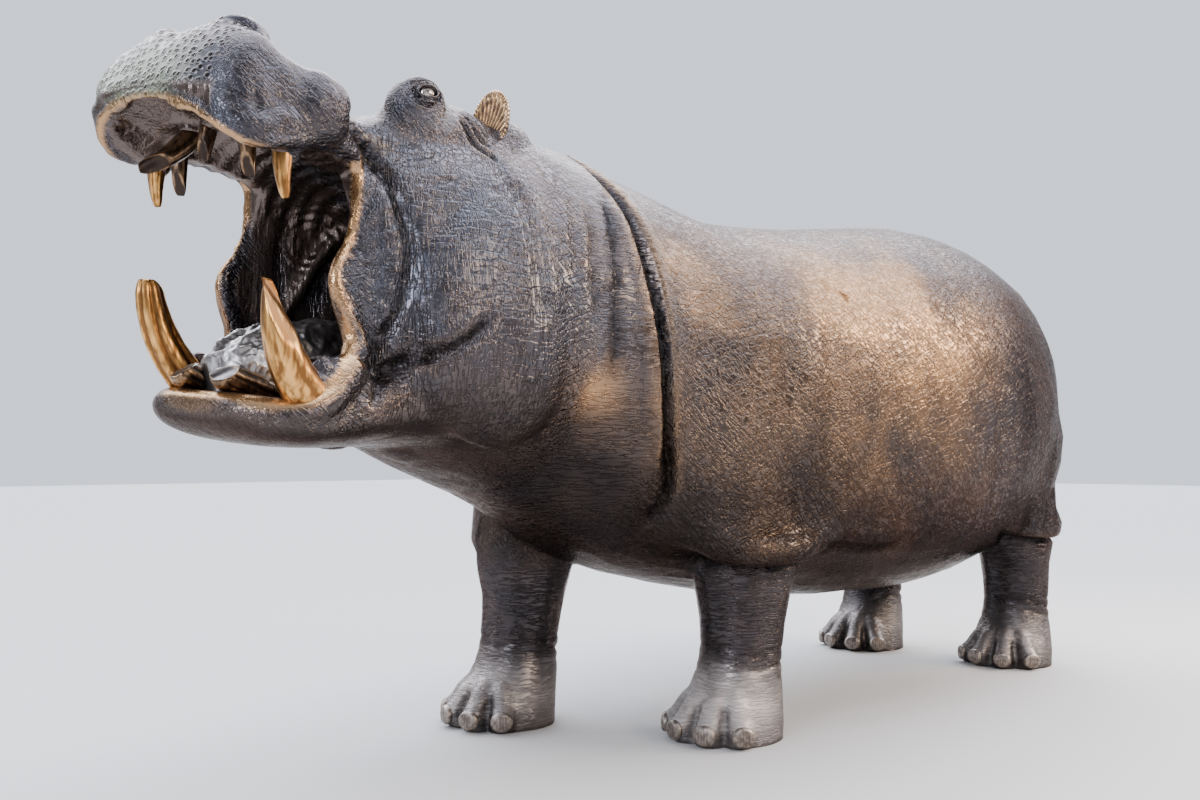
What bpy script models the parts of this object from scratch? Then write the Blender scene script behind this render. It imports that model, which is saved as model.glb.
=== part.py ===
"""Gaping hippopotamus, life size, cast in bronze and standing square on four feet.

Metres, +Z up. The animal faces -X, its left side is -Y, and the origin is on the
ground under the middle of the whole figure's box.
"""
import math

import bmesh
import bpy
import numpy as np
from mathutils import Euler, Matrix, Vector

NAME = "hippopotamus_statue"

# ---------------------------------------------------------------- sizes
GAP = 0.0003                    # clearance between flat cut faces
SEAT = 0.0007                   # clearance round a seated tooth, nail, eye or ear
VOXEL = 0.0135                  # grain of the fused body form
FLESH_TRIANGLES = 3000          # facets shared by all the flesh
HEAD_THINNING = 0.47            # how readily the head loses facets, of 1
TOES_THINNING = 0.80            # and the toes
HEAD_KEPT_X = 1.60              # the head's share ends this far ahead
HEAD_KEPT_BLEND = 0.30
TOES_KEPT_Z = 0.13

HEAD_YAW = math.radians(11.0)   # head turned to its left
HEAD_PIVOT = Vector((-1.35, 0.0, 0.0))
HEAD_TILT = 0.085               # the open jaws tilt, the right side higher
TILT_STILL_T = -0.16            # the line along the jaws that keeps its height
TILT_FROM_S = 0.62
TILT_BLEND_S = 0.30
LIP_ROLL = 0.07                 # the upper lip's front rolls further
LIP_ROLL_FROM_S = 0.96
LIP_ROLL_BLEND_S = 0.10
LIP_ROLL_Z = 1.48               # most at this height, fading within LIP_ROLL_REACH
LIP_ROLL_REACH = 0.07
HEAD_BACK_S = 0.14              # where the head meets the neck, along the head
JAW_HINGE = (0.14, 1.10)        # (s, z) of the line that parts the lower jaw
JAW_CORNER = (0.86, 1.215)
NECK_BACK_X = -1.13             # the deep crease in front of the shoulder
NECK_LEAN = math.radians(12.0)

FOOT_TOP = 0.165
TOE_ANGLES = (-54.0, -19.0, 17.0, 50.0)
TOE_REACH = 0.128
TOE_HEIGHT = 0.038
TOE_RADII = (0.068, 0.050, 0.053)
TOE_ROOT = ((0.070, 0.135, 0.030), (0.105, 0.098, 0.042), (0.130, 0.055, 0.044))    # reach, z, radius
NAIL_REACH = 0.180
NAIL_RADII = (0.022, 0.034, 0.029)
NAIL_HEIGHT = 0.036

EYE_RADIUS = 0.024
EYE = (0.548, 0.232, 1.652)     # s, t, z of each eyeball's centre
EAR = (0.300, 0.215, 1.645)     # s, t, z of each ear's middle
EAR_RADII = (0.030, 0.046, 0.086)
EAR_ROLL = math.radians(14.0)   # outwards
EAR_YAW = math.radians(38.0)
EAR_HOLLOW = (0.026, 0.019, 0.026)      # its middle from the ear's own
EAR_HOLLOW_RADII = (0.028, 0.037, 0.058)
EAR_FACETS = dict(segments=10, rings=7)

# Round forms of the head, one on each side: name, (s, t, z), radii, pitch and yaw in degrees
HEAD_BALLS = (
    ("brow", (0.530, 0.185, 1.622), (0.088, 0.066, 0.082), 0, 0),
    ("brow_root", (0.42, 0.14, 1.575), (0.20, 0.13, 0.105), 0, 0),
    ("canine_sheath", (0.868, 0.222, 1.545), (0.084, 0.070, 0.084), 0, 0),
    ("nostril", (0.968, 0.112, 1.667), (0.070, 0.074, 0.060), 10, 0),
    ("lip_flap", (0.975, 0.228, 1.490), (0.115, 0.046, 0.050), 0, 0),
    ("lip_corner", (1.040, 0.198, 1.512), (0.070, 0.050, 0.056), 0, 0),
    ("chop", (0.760, 0.212, 0.960), (0.120, 0.034, 0.070), 20, 0),
    ("cheek", (0.36, 0.285, 1.16), (0.26, 0.125, 0.330), 0, 8),
    ("jowl", (0.40, 0.245, 1.010), (0.22, 0.110, 0.150), 0, 0),
    ("cheek_rim", (0.735, 0.190, 1.190), (0.056, 0.028, 0.088), 0, 14),
    ("ear_root", (0.235, 0.205, 1.590), (0.085, 0.070, 0.080), 0, 0),
)
# Gums, added once the mouth has been hollowed
GUM_BALLS = (
    ("gum_sleeve", (0.932, 0.214, 1.474), (0.038, 0.036, 0.060), 0, 0),
    ("gum_pad", (0.795, 0.184, 0.925), (0.092, 0.050, 0.046), 0, 0),
)
THROAT = ((0.20, 0.0, 0.98), (0.30, 0.28, 0.18), -14)      # (s, t, z), radii, pitch
GUM_FRONT = ((0.86, 0.0, 0.900), (0.09, 0.15, 0.030))
# Round forms of the body: name, centre, radii; the first two kinds stand on each side
BODY_BALLS = (
    ("shoulder", (-0.80, 0.345, 0.905), (0.40, 0.222, 0.385)),
    ("haunch", (0.92, 0.268, 0.885), (0.36, 0.265, 0.420)),
)
SKIRTS = (                      # folds of skin that hang over the tops of the legs
    ((1.045, -0.315, 0.545), (0.178, 0.158, 0.050)),
    ((0.990, 0.315, 0.545), (0.178, 0.158, 0.050)),
    ((-0.695, -0.330, 0.570), (0.232, 0.184, 0.050)),
    ((-0.945, 0.325, 0.585), (0.150, 0.150, 0.042)),
)
# How square each form's section is: 2 is an ellipse
TRUNK_POWER = 2.25
SKULL_POWER = 2.5
JAW_POWER = 2.8
PALATE_POWER = 2.7
TROUGH_POWER = 2.9
TONGUE_POWER = 2.3

# Trunk and neck: x, top, bottom, half width
TRUNK = (
    (-1.66, 1.56, 0.92, 0.26),
    (-1.50, 1.655, 0.745, 0.385),
    (-1.30, 1.665, 0.635, 0.455),
    (-1.05, 1.615, 0.505, 0.520),
    (-0.80, 1.560, 0.435, 0.570),
    (-0.50, 1.570, 0.375, 0.600),
    (-0.20, 1.606, 0.342, 0.618),
    (0.10, 1.650, 0.325, 0.628),
    (0.40, 1.690, 0.322, 0.620),
    (0.70, 1.672, 0.352, 0.595),
    (0.98, 1.605, 0.425, 0.535),
    (1.20, 1.495, 0.540, 0.430),
    (1.34, 1.345, 0.700, 0.290),
    (1.42, 1.160, 0.920, 0.130),
)

# Skull, cheeks and throat behind the mouth: s, top, bottom, half width
SKULL = (
    (-0.15, 1.660, 0.665, 0.420),
    (0.05, 1.675, 0.700, 0.425),
    (0.25, 1.672, 0.765, 0.400),
    (0.42, 1.650, 0.828, 0.365),
    (0.56, 1.622, 0.875, 0.310),
    (0.66, 1.590, 0.895, 0.250),
    (0.720, 1.530, 0.940, 0.208),
)

# Upper jaw and nose
MUZZLE = (
    (0.450, 1.640, 1.400, 0.250),
    (0.600, 1.622, 1.430, 0.215),
    (0.700, 1.595, 1.435, 0.212),
    (0.800, 1.600, 1.440, 0.238),
    (0.900, 1.668, 1.440, 0.258),
    (0.980, 1.704, 1.440, 0.266),
    (1.040, 1.690, 1.452, 0.258),
    (1.090, 1.635, 1.478, 0.222),
    (1.125, 1.565, 1.512, 0.145),
)

# Lower jaw
JAW = (
    (0.300, 1.080, 0.830, 0.310),
    (0.480, 1.070, 0.838, 0.290),
    (0.620, 1.035, 0.838, 0.266),
    (0.740, 0.985, 0.832, 0.250),
    (0.840, 0.952, 0.830, 0.246),
    (0.910, 0.945, 0.838, 0.228),
    (0.960, 0.944, 0.858, 0.188),
    (0.998, 0.935, 0.884, 0.128),
)

# Room under the palate and room above the tongue: s, top, bottom, half width
PALATE = (
    (0.400, 1.260, 1.130, 0.060),
    (0.470, 1.370, 1.080, 0.110),
    (0.600, 1.455, 1.050, 0.150),
    (0.720, 1.480, 1.050, 0.172),
    (0.840, 1.498, 1.050, 0.204),
    (0.950, 1.516, 1.050, 0.230),
    (1.020, 1.530, 1.050, 0.232),
    (1.080, 1.542, 1.050, 0.208),
    (1.140, 1.550, 1.050, 0.174),
    (1.300, 1.556, 1.050, 0.140),
)
TROUGH = (
    (0.420, 1.250, 1.080, 0.070),
    (0.500, 1.250, 1.020, 0.120),
    (0.620, 1.250, 0.960, 0.152),
    (0.740, 1.250, 0.920, 0.182),
    (0.830, 1.250, 0.900, 0.205),
    (0.900, 1.250, 0.894, 0.190),
    (0.945, 1.250, 0.900, 0.155),
    (0.972, 1.250, 0.910, 0.105),
)

# Lips: s, t, z, radius, from the middle of the front to the corner of the mouth
UPPER_LIP = (
    (1.120, 0.000, 1.532, 0.011),
    (1.118, 0.070, 1.528, 0.011),
    (1.108, 0.142, 1.510, 0.012),
    (1.088, 0.200, 1.482, 0.014),
    (1.050, 0.240, 1.454, 0.016),
    (0.996, 0.256, 1.448, 0.018),
    (0.932, 0.250, 1.464, 0.018),
    (0.865, 0.237, 1.478, 0.017),
    (0.800, 0.220, 1.482, 0.015),
    (0.750, 0.206, 1.480, 0.013),
    (0.715, 0.190, 1.467, 0.012),
)
LOWER_LIP = (
    (0.968, 0.000, 0.916, 0.030),
    (0.962, 0.080, 0.916, 0.031),
    (0.941, 0.146, 0.911, 0.033),
    (0.903, 0.196, 0.908, 0.033),
    (0.855, 0.222, 0.920, 0.033),
    (0.806, 0.228, 0.952, 0.032),
    (0.764, 0.220, 1.002, 0.031),
    (0.736, 0.205, 1.060, 0.028),
    (0.744, 0.198, 1.110, 0.026),
    (0.766, 0.195, 1.155, 0.023),
    (0.778, 0.193, 1.202, 0.020),
    (0.764, 0.192, 1.242, 0.017),
    (0.738, 0.190, 1.287, 0.014),
    (0.722, 0.188, 1.345, 0.012),
    (0.714, 0.186, 1.410, 0.011),
    (0.715, 0.188, 1.465, 0.011),
)

# Legs: z, x, distance from the middle line, half length, half width
FORE_LEFT = (
    (0.860, -0.700, 0.300, 0.215, 0.190),
    (0.620, -0.675, 0.315, 0.195, 0.178),
    (0.500, -0.668, 0.312, 0.172, 0.160),
    (0.360, -0.668, 0.305, 0.136, 0.132),
    (0.230, -0.675, 0.302, 0.128, 0.125),
    (0.140, -0.695, 0.300, 0.142, 0.138),
    (0.060, -0.725, 0.300, 0.160, 0.158),
    (-0.030, -0.735, 0.300, 0.165, 0.162),
)
FORE_RIGHT = (
    (0.860, -0.940, 0.300, 0.215, 0.190),
    (0.620, -0.975, 0.315, 0.188, 0.174),
    (0.500, -0.995, 0.312, 0.164, 0.154),
    (0.360, -1.012, 0.305, 0.134, 0.130),
    (0.230, -1.030, 0.302, 0.127, 0.124),
    (0.140, -1.055, 0.300, 0.142, 0.138),
    (0.060, -1.085, 0.300, 0.160, 0.158),
    (-0.030, -1.095, 0.300, 0.165, 0.162),
)
HIND_LEFT = (
    (0.82, 0.96, 0.300, 0.250, 0.190),
    (0.60, 1.02, 0.312, 0.205, 0.172),
    (0.49, 1.045, 0.315, 0.160, 0.150),
    (0.36, 1.055, 0.312, 0.134, 0.130),
    (0.23, 1.055, 0.310, 0.126, 0.124),
    (0.14, 1.035, 0.310, 0.142, 0.138),
    (0.06, 1.000, 0.310, 0.160, 0.158),
    (-0.03, 0.990, 0.310, 0.165, 0.162),
)
HIND_RIGHT = (
    (0.82, 0.94, 0.300, 0.250, 0.190),
    (0.60, 0.98, 0.312, 0.205, 0.172),
    (0.49, 0.990, 0.315, 0.160, 0.150),
    (0.36, 0.990, 0.312, 0.134, 0.130),
    (0.23, 0.985, 0.310, 0.126, 0.124),
    (0.14, 0.965, 0.310, 0.142, 0.138),
    (0.06, 0.930, 0.310, 0.160, 0.158),
    (-0.03, 0.920, 0.310, 0.165, 0.162),
)
LEGS = {
    "fore_left": (FORE_LEFT, -1),
    "fore_right": (FORE_RIGHT, 1),
    "hind_left": (HIND_LEFT, -1),
    "hind_right": (HIND_RIGHT, 1),
}
LEG_REGION_RADIUS = 0.235
LEG_REGION_SHORT = 0.88         # its length along the body, of its width
LEG_REGION_Z = 0.30
LEG_REGION_SIDES = 18
FOOT_REGION_RADIUS = 0.285
FOOT_REGION_Z = (-0.20, 0.205)
FOOT_BLOCK = (0.40, 0.27)       # half length and half width of the cut that frees a foot
HEAD_BLOCK_LEAN = 0.20          # how far the head's back plane leans, low to high
FAR = 2.2                       # beyond any part of the figure
LEG_INNER_Z = 0.40              # leg's upper cut on the belly side
LEG_OUTER_Z = 0.585             # and on the outer side, under the skirt of skin

# Tail: x, z, half thickness, half width
TAIL = (
    (1.270, 1.235, 0.048, 0.062),
    (1.375, 1.262, 0.048, 0.060),
    (1.448, 1.205, 0.042, 0.054),
    (1.478, 1.110, 0.034, 0.046),
    (1.483, 1.000, 0.027, 0.040),
    (1.480, 0.900, 0.021, 0.037),
    (1.471, 0.815, 0.016, 0.034),
    (1.467, 0.765, 0.007, 0.016),
)

# Tongue: s, top, bottom, half width
TONGUE = (
    (0.440, 1.130, 0.985, 0.060),
    (0.540, 1.140, 0.945, 0.090),
    (0.660, 1.135, 0.915, 0.108),
    (0.780, 1.115, 0.895, 0.112),
    (0.860, 1.085, 0.888, 0.104),
    (0.910, 1.050, 0.900, 0.084),
    (0.935, 1.015, 0.930, 0.050),
)

TOOTH_TAPER = 1.6               # how late a tooth thins towards its tip
TOOTH_TIP_STEP = 0.6            # the last ring sits this share of a step short of the tip
TOOTH_TIP_SHARE = 0.5           # width of the tip's facet, of the last ring

# Teeth in the head's own frame: base (s, t, z), tip, how far the middle bows,
# radius at the base. t is for the right side; the left side mirrors it.
LOWER_TUSK_LEFT = ((0.808, 0.186, 0.922), (0.958, 0.215, 1.180), (0.044, 0.014, -0.026), 0.052)
LOWER_TUSK_RIGHT = ((0.808, 0.186, 0.922), (0.958, 0.215, 1.180), (0.028, 0.012, -0.018), 0.050)
LOWER_INCISOR = ((0.800, 0.070, 0.938), (0.984, 0.068, 0.982), (0.0, 0.0, -0.004), 0.034)
UPPER_CANINE = ((0.925, 0.212, 1.520), (0.935, 0.218, 1.345), (0.012, 0.0, 0.0), 0.027)
UPPER_INNER_LEFT = ((0.990, 0.050, 1.530), (1.014, 0.052, 1.420), (0.0, 0.0, 0.0), 0.020)
UPPER_INNER_RIGHT = ((0.940, 0.052, 1.528), (1.078, 0.062, 1.392), (-0.012, 0.0, -0.010), 0.026)
UPPER_OUTER_LEFT = ((0.985, 0.150, 1.520), (0.974, 0.152, 1.386), (0.0, 0.0, 0.0), 0.021)
UPPER_OUTER_RIGHT = ((0.932, 0.150, 1.520), (0.925, 0.152, 1.370), (0.0, 0.0, 0.0), 0.021)
# Each kind of tooth: name, left and right form, facets round it and along it,
# share of the width kept across it and share of the base left at the tip
TEETH = (
    ("lower_tusk_", LOWER_TUSK_LEFT, LOWER_TUSK_RIGHT, dict(sides=10, steps=6, flat=0.80, blunt=0.50)),
    ("lower_incisor_", LOWER_INCISOR, LOWER_INCISOR, dict(sides=8, steps=4, blunt=0.88)),
    ("upper_canine_", UPPER_CANINE, UPPER_CANINE, dict(sides=8, steps=5, blunt=0.38)),
    ("upper_inner_incisor_", UPPER_INNER_LEFT, UPPER_INNER_RIGHT, dict(sides=8, steps=4, blunt=0.64)),
    ("upper_outer_incisor_", UPPER_OUTER_LEFT, UPPER_OUTER_RIGHT, dict(sides=8, steps=4, blunt=0.60)),
)

TUBE_UP = Vector((0.31, 0.17, 0.93))    # off every lip's own direction

BRONZE = (0.052, 0.036, 0.027)          # brown patina
POLISHED = (0.330, 0.190, 0.070)        # where hands have rubbed it


# ---------------------------------------------------------------- helpers
def clear_scene():
    for ob in list(bpy.data.objects):
        bpy.data.objects.remove(ob, do_unlink=True)
    for me in list(bpy.data.meshes):
        bpy.data.meshes.remove(me)


def collection(name):
    col = bpy.data.collections.new(name)
    bpy.context.scene.collection.children.link(col)
    return col


def add_object(name, mesh, col):
    ob = bpy.data.objects.new(name, mesh)
    col.objects.link(ob)
    return ob


def head_point(s, t, z):
    """World point of (along the head, to its right, up)."""
    c, d = math.cos(HEAD_YAW), math.sin(HEAD_YAW)
    return Vector((HEAD_PIVOT.x - s * c - t * d, HEAD_PIVOT.y - s * d + t * c, z))


def body_point(x, y, z):
    return Vector((x, y, z))


def loft(name, rings, col):
    """Closed skin over equal rings of points, wound to face outwards."""
    bm = bmesh.new()
    rows = [[bm.verts.new(p) for p in ring] for ring in rings]
    count = len(rows[0])
    for a, b in zip(rows, rows[1:]):
        for i in range(count):
            j = (i + 1) % count
            bm.faces.new((a[i], a[j], b[j], b[i]))
    bm.faces.new(rows[0])
    bm.faces.new(list(reversed(rows[-1])))
    bmesh.ops.recalc_face_normals(bm, faces=bm.faces)
    mesh = bpy.data.meshes.new(name)
    bm.to_mesh(mesh)
    bm.free()
    return add_object(name, mesh, col)


def oval(top, bottom, half, power, count):
    """Points (across, up) round a superellipse."""
    mid, rise = (top + bottom) / 2, (top - bottom) / 2
    points = []
    for k in range(count):
        a = 2 * math.pi * k / count
        c, s = math.cos(a), math.sin(a)
        points.append((half * math.copysign(abs(c) ** (2 / power), c),
                       mid + rise * math.copysign(abs(s) ** (2 / power), s)))
    return points


def smooth_table(table, steps):
    """More rows between those of a table, along a smooth curve."""
    rows = np.array(table, float)
    out = []
    for i in range(len(rows) - 1):
        p0, p1, p2, p3 = (rows[max(i - 1, 0)], rows[i], rows[i + 1], rows[min(i + 2, len(rows) - 1)])
        for k in range(steps):
            u = k / steps
            out.append(0.5 * (2 * p1 + (p2 - p0) * u + (2 * p0 - 5 * p1 + 4 * p2 - p3) * u * u
                              + (3 * p1 - p0 - 3 * p2 + p3) * u ** 3))
    out.append(rows[-1])
    return [tuple(float(v) for v in row) for row in out]


def long_form(name, table, place, power, col, count=40, steps=3, grow=0.0):
    """A loft along x or s from a table of (station, top, bottom, half width)."""
    rings = []
    for station, top, bottom, half in smooth_table(table, steps):
        rings.append([place(station, t, z)
                      for t, z in oval(top + grow, bottom - grow, half + grow, power, count)])
    return loft(name, rings, col)


def tube(name, path, col, sides=12):
    """A closed tube through (x, y, z, radius) rows."""
    rows = [(Vector(row[:3]), row[3]) for row in smooth_table(path, 3)]
    rings = []
    for i, (centre, radius) in enumerate(rows):
        along = (rows[min(i + 1, len(rows) - 1)][0] - rows[max(i - 1, 0)][0]).normalized()
        side_dir = along.cross(TUBE_UP)
        if side_dir.length < 0.2:
            side_dir = along.cross(Vector((0.0, 1.0, 0.0)))
        side_dir.normalize()
        up = along.cross(side_dir)
        rings.append([centre + (side_dir * math.cos(a) + up * math.sin(a)) * radius
                      for a in (2 * math.pi * k / sides for k in range(sides))])
    return loft(name, rings, col)


def lip_tube(name, path, col):
    """One tube round the whole arch of a lip, corner to corner."""
    half = [(*head_point(s, t, z), r) for s, t, z, r in path]
    other = [(*head_point(s, -t, z), r) for s, t, z, r in path[1:]]
    return tube(name, list(reversed(other)) + half, col)


def leg_form(name, table, side, col):
    rings = []
    for z, x, y, rx, ry in smooth_table(table, 3):
        rings.append([Vector((x + rx * math.cos(a), side * y + ry * math.sin(a), z))
                      for a in (2 * math.pi * k / 32 for k in range(32))])
    return loft(name, rings, col)


def ellipsoid(name, centre, radii, col, turn=(0.0, 0.0, 0.0), segments=32, rings=20):
    bm = bmesh.new()
    bmesh.ops.create_uvsphere(bm, u_segments=segments, v_segments=rings, radius=1.0)
    matrix = (Matrix.Translation(centre) @ Euler(turn).to_matrix().to_4x4()
              @ Matrix.Diagonal((*radii, 1.0)))
    bmesh.ops.transform(bm, matrix=matrix, verts=bm.verts)
    mesh = bpy.data.meshes.new(name)
    bm.to_mesh(mesh)
    bm.free()
    return add_object(name, mesh, col)


def head_ball(name, s, t, z, radii, col, pitch=0.0, roll=0.0, yaw=0.0, **kw):
    """Ellipsoid in the head's frame: radii are along, across and up."""
    return ellipsoid(name, head_point(s, t, z), radii, col, (roll, pitch, HEAD_YAW + yaw), **kw)


def ease(x):
    x = min(max(x, 0.0), 1.0)
    return x * x * (3 - 2 * x)


def tilt_jaws(ob):
    """Raises the right side of the open jaws, the head behind them left as it is."""
    c, d = math.cos(HEAD_YAW), math.sin(HEAD_YAW)
    for v in ob.data.vertices:
        dx, dy = v.co.x - HEAD_PIVOT.x, v.co.y - HEAD_PIVOT.y
        s, t = -(dx * c + dy * d), -dx * d + dy * c
        rise = HEAD_TILT * (t - TILT_STILL_T) * ease((s - TILT_FROM_S) / TILT_BLEND_S)
        height = (v.co.z - LIP_ROLL_Z) / LIP_ROLL_REACH
        rise += LIP_ROLL * t * ease((s - LIP_ROLL_FROM_S) / LIP_ROLL_BLEND_S) * math.exp(-height * height)
        v.co.z += rise
    return ob


def bake(ob):
    """Replace an object's mesh by what its modifiers make of it."""
    depsgraph = bpy.context.evaluated_depsgraph_get()
    mesh = bpy.data.meshes.new_from_object(ob.evaluated_get(depsgraph), depsgraph=depsgraph)
    old = ob.data
    ob.modifiers.clear()
    ob.data = mesh
    bpy.data.meshes.remove(old)
    return ob


def join(name, obs, col):
    bm = bmesh.new()
    for ob in obs:
        bm.from_mesh(ob.data)
        bpy.data.objects.remove(ob, do_unlink=True)
    mesh = bpy.data.meshes.new(name)
    bm.to_mesh(mesh)
    bm.free()
    return add_object(name, mesh, col)


def fuse(ob, voxel, passes):
    """One skin over overlapping forms, with the joins eased."""
    mod = ob.modifiers.new("fuse", "REMESH")
    mod.mode = "VOXEL"
    mod.voxel_size = voxel
    mod.adaptivity = 0.0
    if passes:
        smooth = ob.modifiers.new("smooth", "SMOOTH")
        smooth.factor = 0.5
        smooth.iterations = passes
    return bake(ob)


def boolean(ob, cutter, operation):
    mod = ob.modifiers.new(operation.lower(), "BOOLEAN")
    mod.operation = operation
    mod.solver = "EXACT"
    mod.object = cutter
    return bake(ob)


def cut_away(ob, cutter):
    return boolean(ob, cutter, "DIFFERENCE")


def taken_out(name, ob, region, region_grown, col):
    """The part of ob inside a region becomes an object of its own."""
    piece = add_object(name, ob.data.copy(), col)
    boolean(piece, region, "INTERSECT")
    cut_away(ob, region_grown)
    return piece


def block(name, corner_points, col):
    """A convex block through eight corners: four below, four above."""
    return loft(name, (corner_points[:4], corner_points[4:]), col)


def tidy(ob):
    """Weld, drop slivers and stray crumbs, and keep faces as triangles."""
    bm = bmesh.new()
    bm.from_mesh(ob.data)
    bmesh.ops.remove_doubles(bm, verts=bm.verts, dist=0.00002)
    bmesh.ops.dissolve_degenerate(bm, edges=bm.edges, dist=0.00002)
    bmesh.ops.triangulate(bm, faces=bm.faces)
    seen, groups = set(), []
    for v in bm.verts:
        if v in seen:
            continue
        stack, group = [v], []
        seen.add(v)
        while stack:
            w = stack.pop()
            group.append(w)
            for e in w.link_edges:
                o = e.other_vert(w)
                if o not in seen:
                    seen.add(o)
                    stack.append(o)
        groups.append(group)
    groups.sort(key=len, reverse=True)
    for group in groups[1:]:
        bmesh.ops.delete(bm, geom=group, context="VERTS")
    bmesh.ops.recalc_face_normals(bm, faces=bm.faces)
    bm.to_mesh(ob.data)
    bm.free()


def material(name, colour, roughness):
    mat = bpy.data.materials.new(name)
    mat.use_nodes = True
    shader = mat.node_tree.nodes["Principled BSDF"]
    shader.inputs["Base Color"].default_value = (*colour, 1.0)
    shader.inputs["Metallic"].default_value = 1.0
    shader.inputs["Roughness"].default_value = roughness
    mat.diffuse_color = (*colour, 1.0)
    return mat


# ---------------------------------------------------------------- pieces
def tooth(name, spec, side, col, sides=10, steps=7, flat=1.0, blunt=0.35, grow=0.0):
    """A curved tapering tooth from its base to its tip."""
    base, tip, bow, radius = spec
    p0 = head_point(base[0], side * base[1], base[2])
    p2 = head_point(tip[0], side * tip[1], tip[2])
    mid = head_point((base[0] + tip[0]) / 2 + bow[0], side * ((base[1] + tip[1]) / 2 + bow[1]),
                     (base[2] + tip[2]) / 2 + bow[2])
    p1 = 2 * mid - (p0 + p2) / 2
    across = (head_point(0, side, 0) - head_point(0, 0, 0)).normalized()
    rings = []
    for k in range(steps + 1):
        u = min(k / (steps - TOOTH_TIP_STEP), 1.0) if k < steps else 1.0
        centre = p0 * (1 - u) ** 2 + p1 * 2 * u * (1 - u) + p2 * u * u
        along = ((p1 - p0) * (1 - u) + (p2 - p1) * u).normalized()
        side_dir = (across - along * across.dot(along)).normalized()
        out = along.cross(side_dir)
        r = radius * (1 - (1 - blunt) * u ** TOOTH_TAPER)
        r *= TOOTH_TIP_SHARE if k == steps else 1.0
        rings.append([centre + (side_dir * math.cos(a) * flat + out * math.sin(a)) * (r + grow)
                      for a in (2 * math.pi * i / sides for i in range(sides))])
    if grow:
        rings[0] = [p - (p2 - p0).normalized() * grow for p in rings[0]]
    return loft(name, rings, col)


def nail(name, leg, side, angle, col, grow=0.0):
    table, _ = LEGS[leg]
    foot_x, foot_y = table[-1][1], side * table[-1][2]
    a = math.radians(angle)
    ahead = Vector((-math.cos(a), math.sin(a), 0.0))
    centre = Vector((foot_x, foot_y, NAIL_HEIGHT)) + ahead * NAIL_REACH
    radii = [r + grow for r in NAIL_RADII]
    return ellipsoid(name, centre, radii, col, (0.0, 0.0, -a), segments=6, rings=4)


def ear_ball(name, side, offset, radii, col, **kw):
    """An ellipsoid turned as the ear is, its middle moved from the ear's own."""
    s, t, z = (a + b for a, b in zip(EAR, offset))
    return head_ball(name, s, side * t, z, radii, col, roll=-side * EAR_ROLL, yaw=-side * EAR_YAW, **kw)


def ear(name, side, col):
    """A small cup on a stout root, opening forwards and outwards."""
    outer = ear_ball(name, side, (0, 0, 0), EAR_RADII, col, **EAR_FACETS)
    hollow = ear_ball("ear_hollow", side, EAR_HOLLOW, EAR_HOLLOW_RADII, col, segments=8, rings=6)
    cut_away(outer, hollow)
    bpy.data.objects.remove(hollow, do_unlink=True)
    return outer


def ear_seat(side, col):
    return ear_ball("ear_seat", side, (0, 0, 0), [r + SEAT for r in EAR_RADII], col, **EAR_FACETS)


def tongue(name, col, grow=0.0):
    rings = []
    for s, top, bottom, half in smooth_table(TONGUE, 2):
        rings.append([head_point(s, t, z) for t, z in oval(top + grow, bottom - grow, half + grow, TONGUE_POWER, 8)])
    if grow:
        rings[0] = [p + (head_point(-grow, 0, 0) - head_point(0, 0, 0)) for p in rings[0]]
        rings[-1] = [p + (head_point(grow, 0, 0) - head_point(0, 0, 0)) for p in rings[-1]]
    return loft(name, rings, col)


def tail(name, col, grow=0.0):
    rings = []
    rows = smooth_table(TAIL, 1)
    for i, (x, z, thick, half) in enumerate(rows):
        a, b = rows[max(i - 1, 0)], rows[min(i + 1, len(rows) - 1)]
        along = Vector((b[0] - a[0], 0.0, b[1] - a[1])).normalized()
        out = Vector((along.z, 0.0, -along.x))
        centre = Vector((x, 0.0, z))
        if i == 0:
            centre -= along * grow
        rings.append([centre + out * (thick + grow) * math.cos(t) + Vector((0, (half + grow) * math.sin(t), 0))
                      for t in (2 * math.pi * k / 8 for k in range(8))])
    return loft(name, rings, col)


def side_balls(table, col):
    """Each ellipsoid of a table on both sides of the head."""
    return [head_ball(name, s, side * t, z, radii, col, pitch=math.radians(pitch), yaw=side * math.radians(yaw))
            for side in (-1, 1) for name, (s, t, z), radii, pitch, yaw in table]


def head_forms(col):
    centre, radii, pitch = THROAT
    forms = [
        long_form("skull", SKULL, head_point, SKULL_POWER, col),
        long_form("muzzle", MUZZLE, head_point, SKULL_POWER, col),
        long_form("lower_jaw_form", JAW, head_point, JAW_POWER, col),
        head_ball("throat", *centre, radii, col, pitch=math.radians(pitch)),
    ]
    head = fuse(join("head_forms", forms + side_balls(HEAD_BALLS, col), col), VOXEL, 2)
    for room in (long_form("palate_room", PALATE, head_point, PALATE_POWER, col, count=32),
                 long_form("trough_room", TROUGH, head_point, TROUGH_POWER, col, count=32)):
        cut_away(head, room)
        bpy.data.objects.remove(room, do_unlink=True)
    centre, radii = GUM_FRONT
    extras = [lip_tube("upper_lip", UPPER_LIP, col), lip_tube("lower_lip", LOWER_LIP, col)]
    extras += side_balls(GUM_BALLS, col)
    extras.append(head_ball("gum_front", *centre, radii, col))
    return [head] + extras


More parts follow.
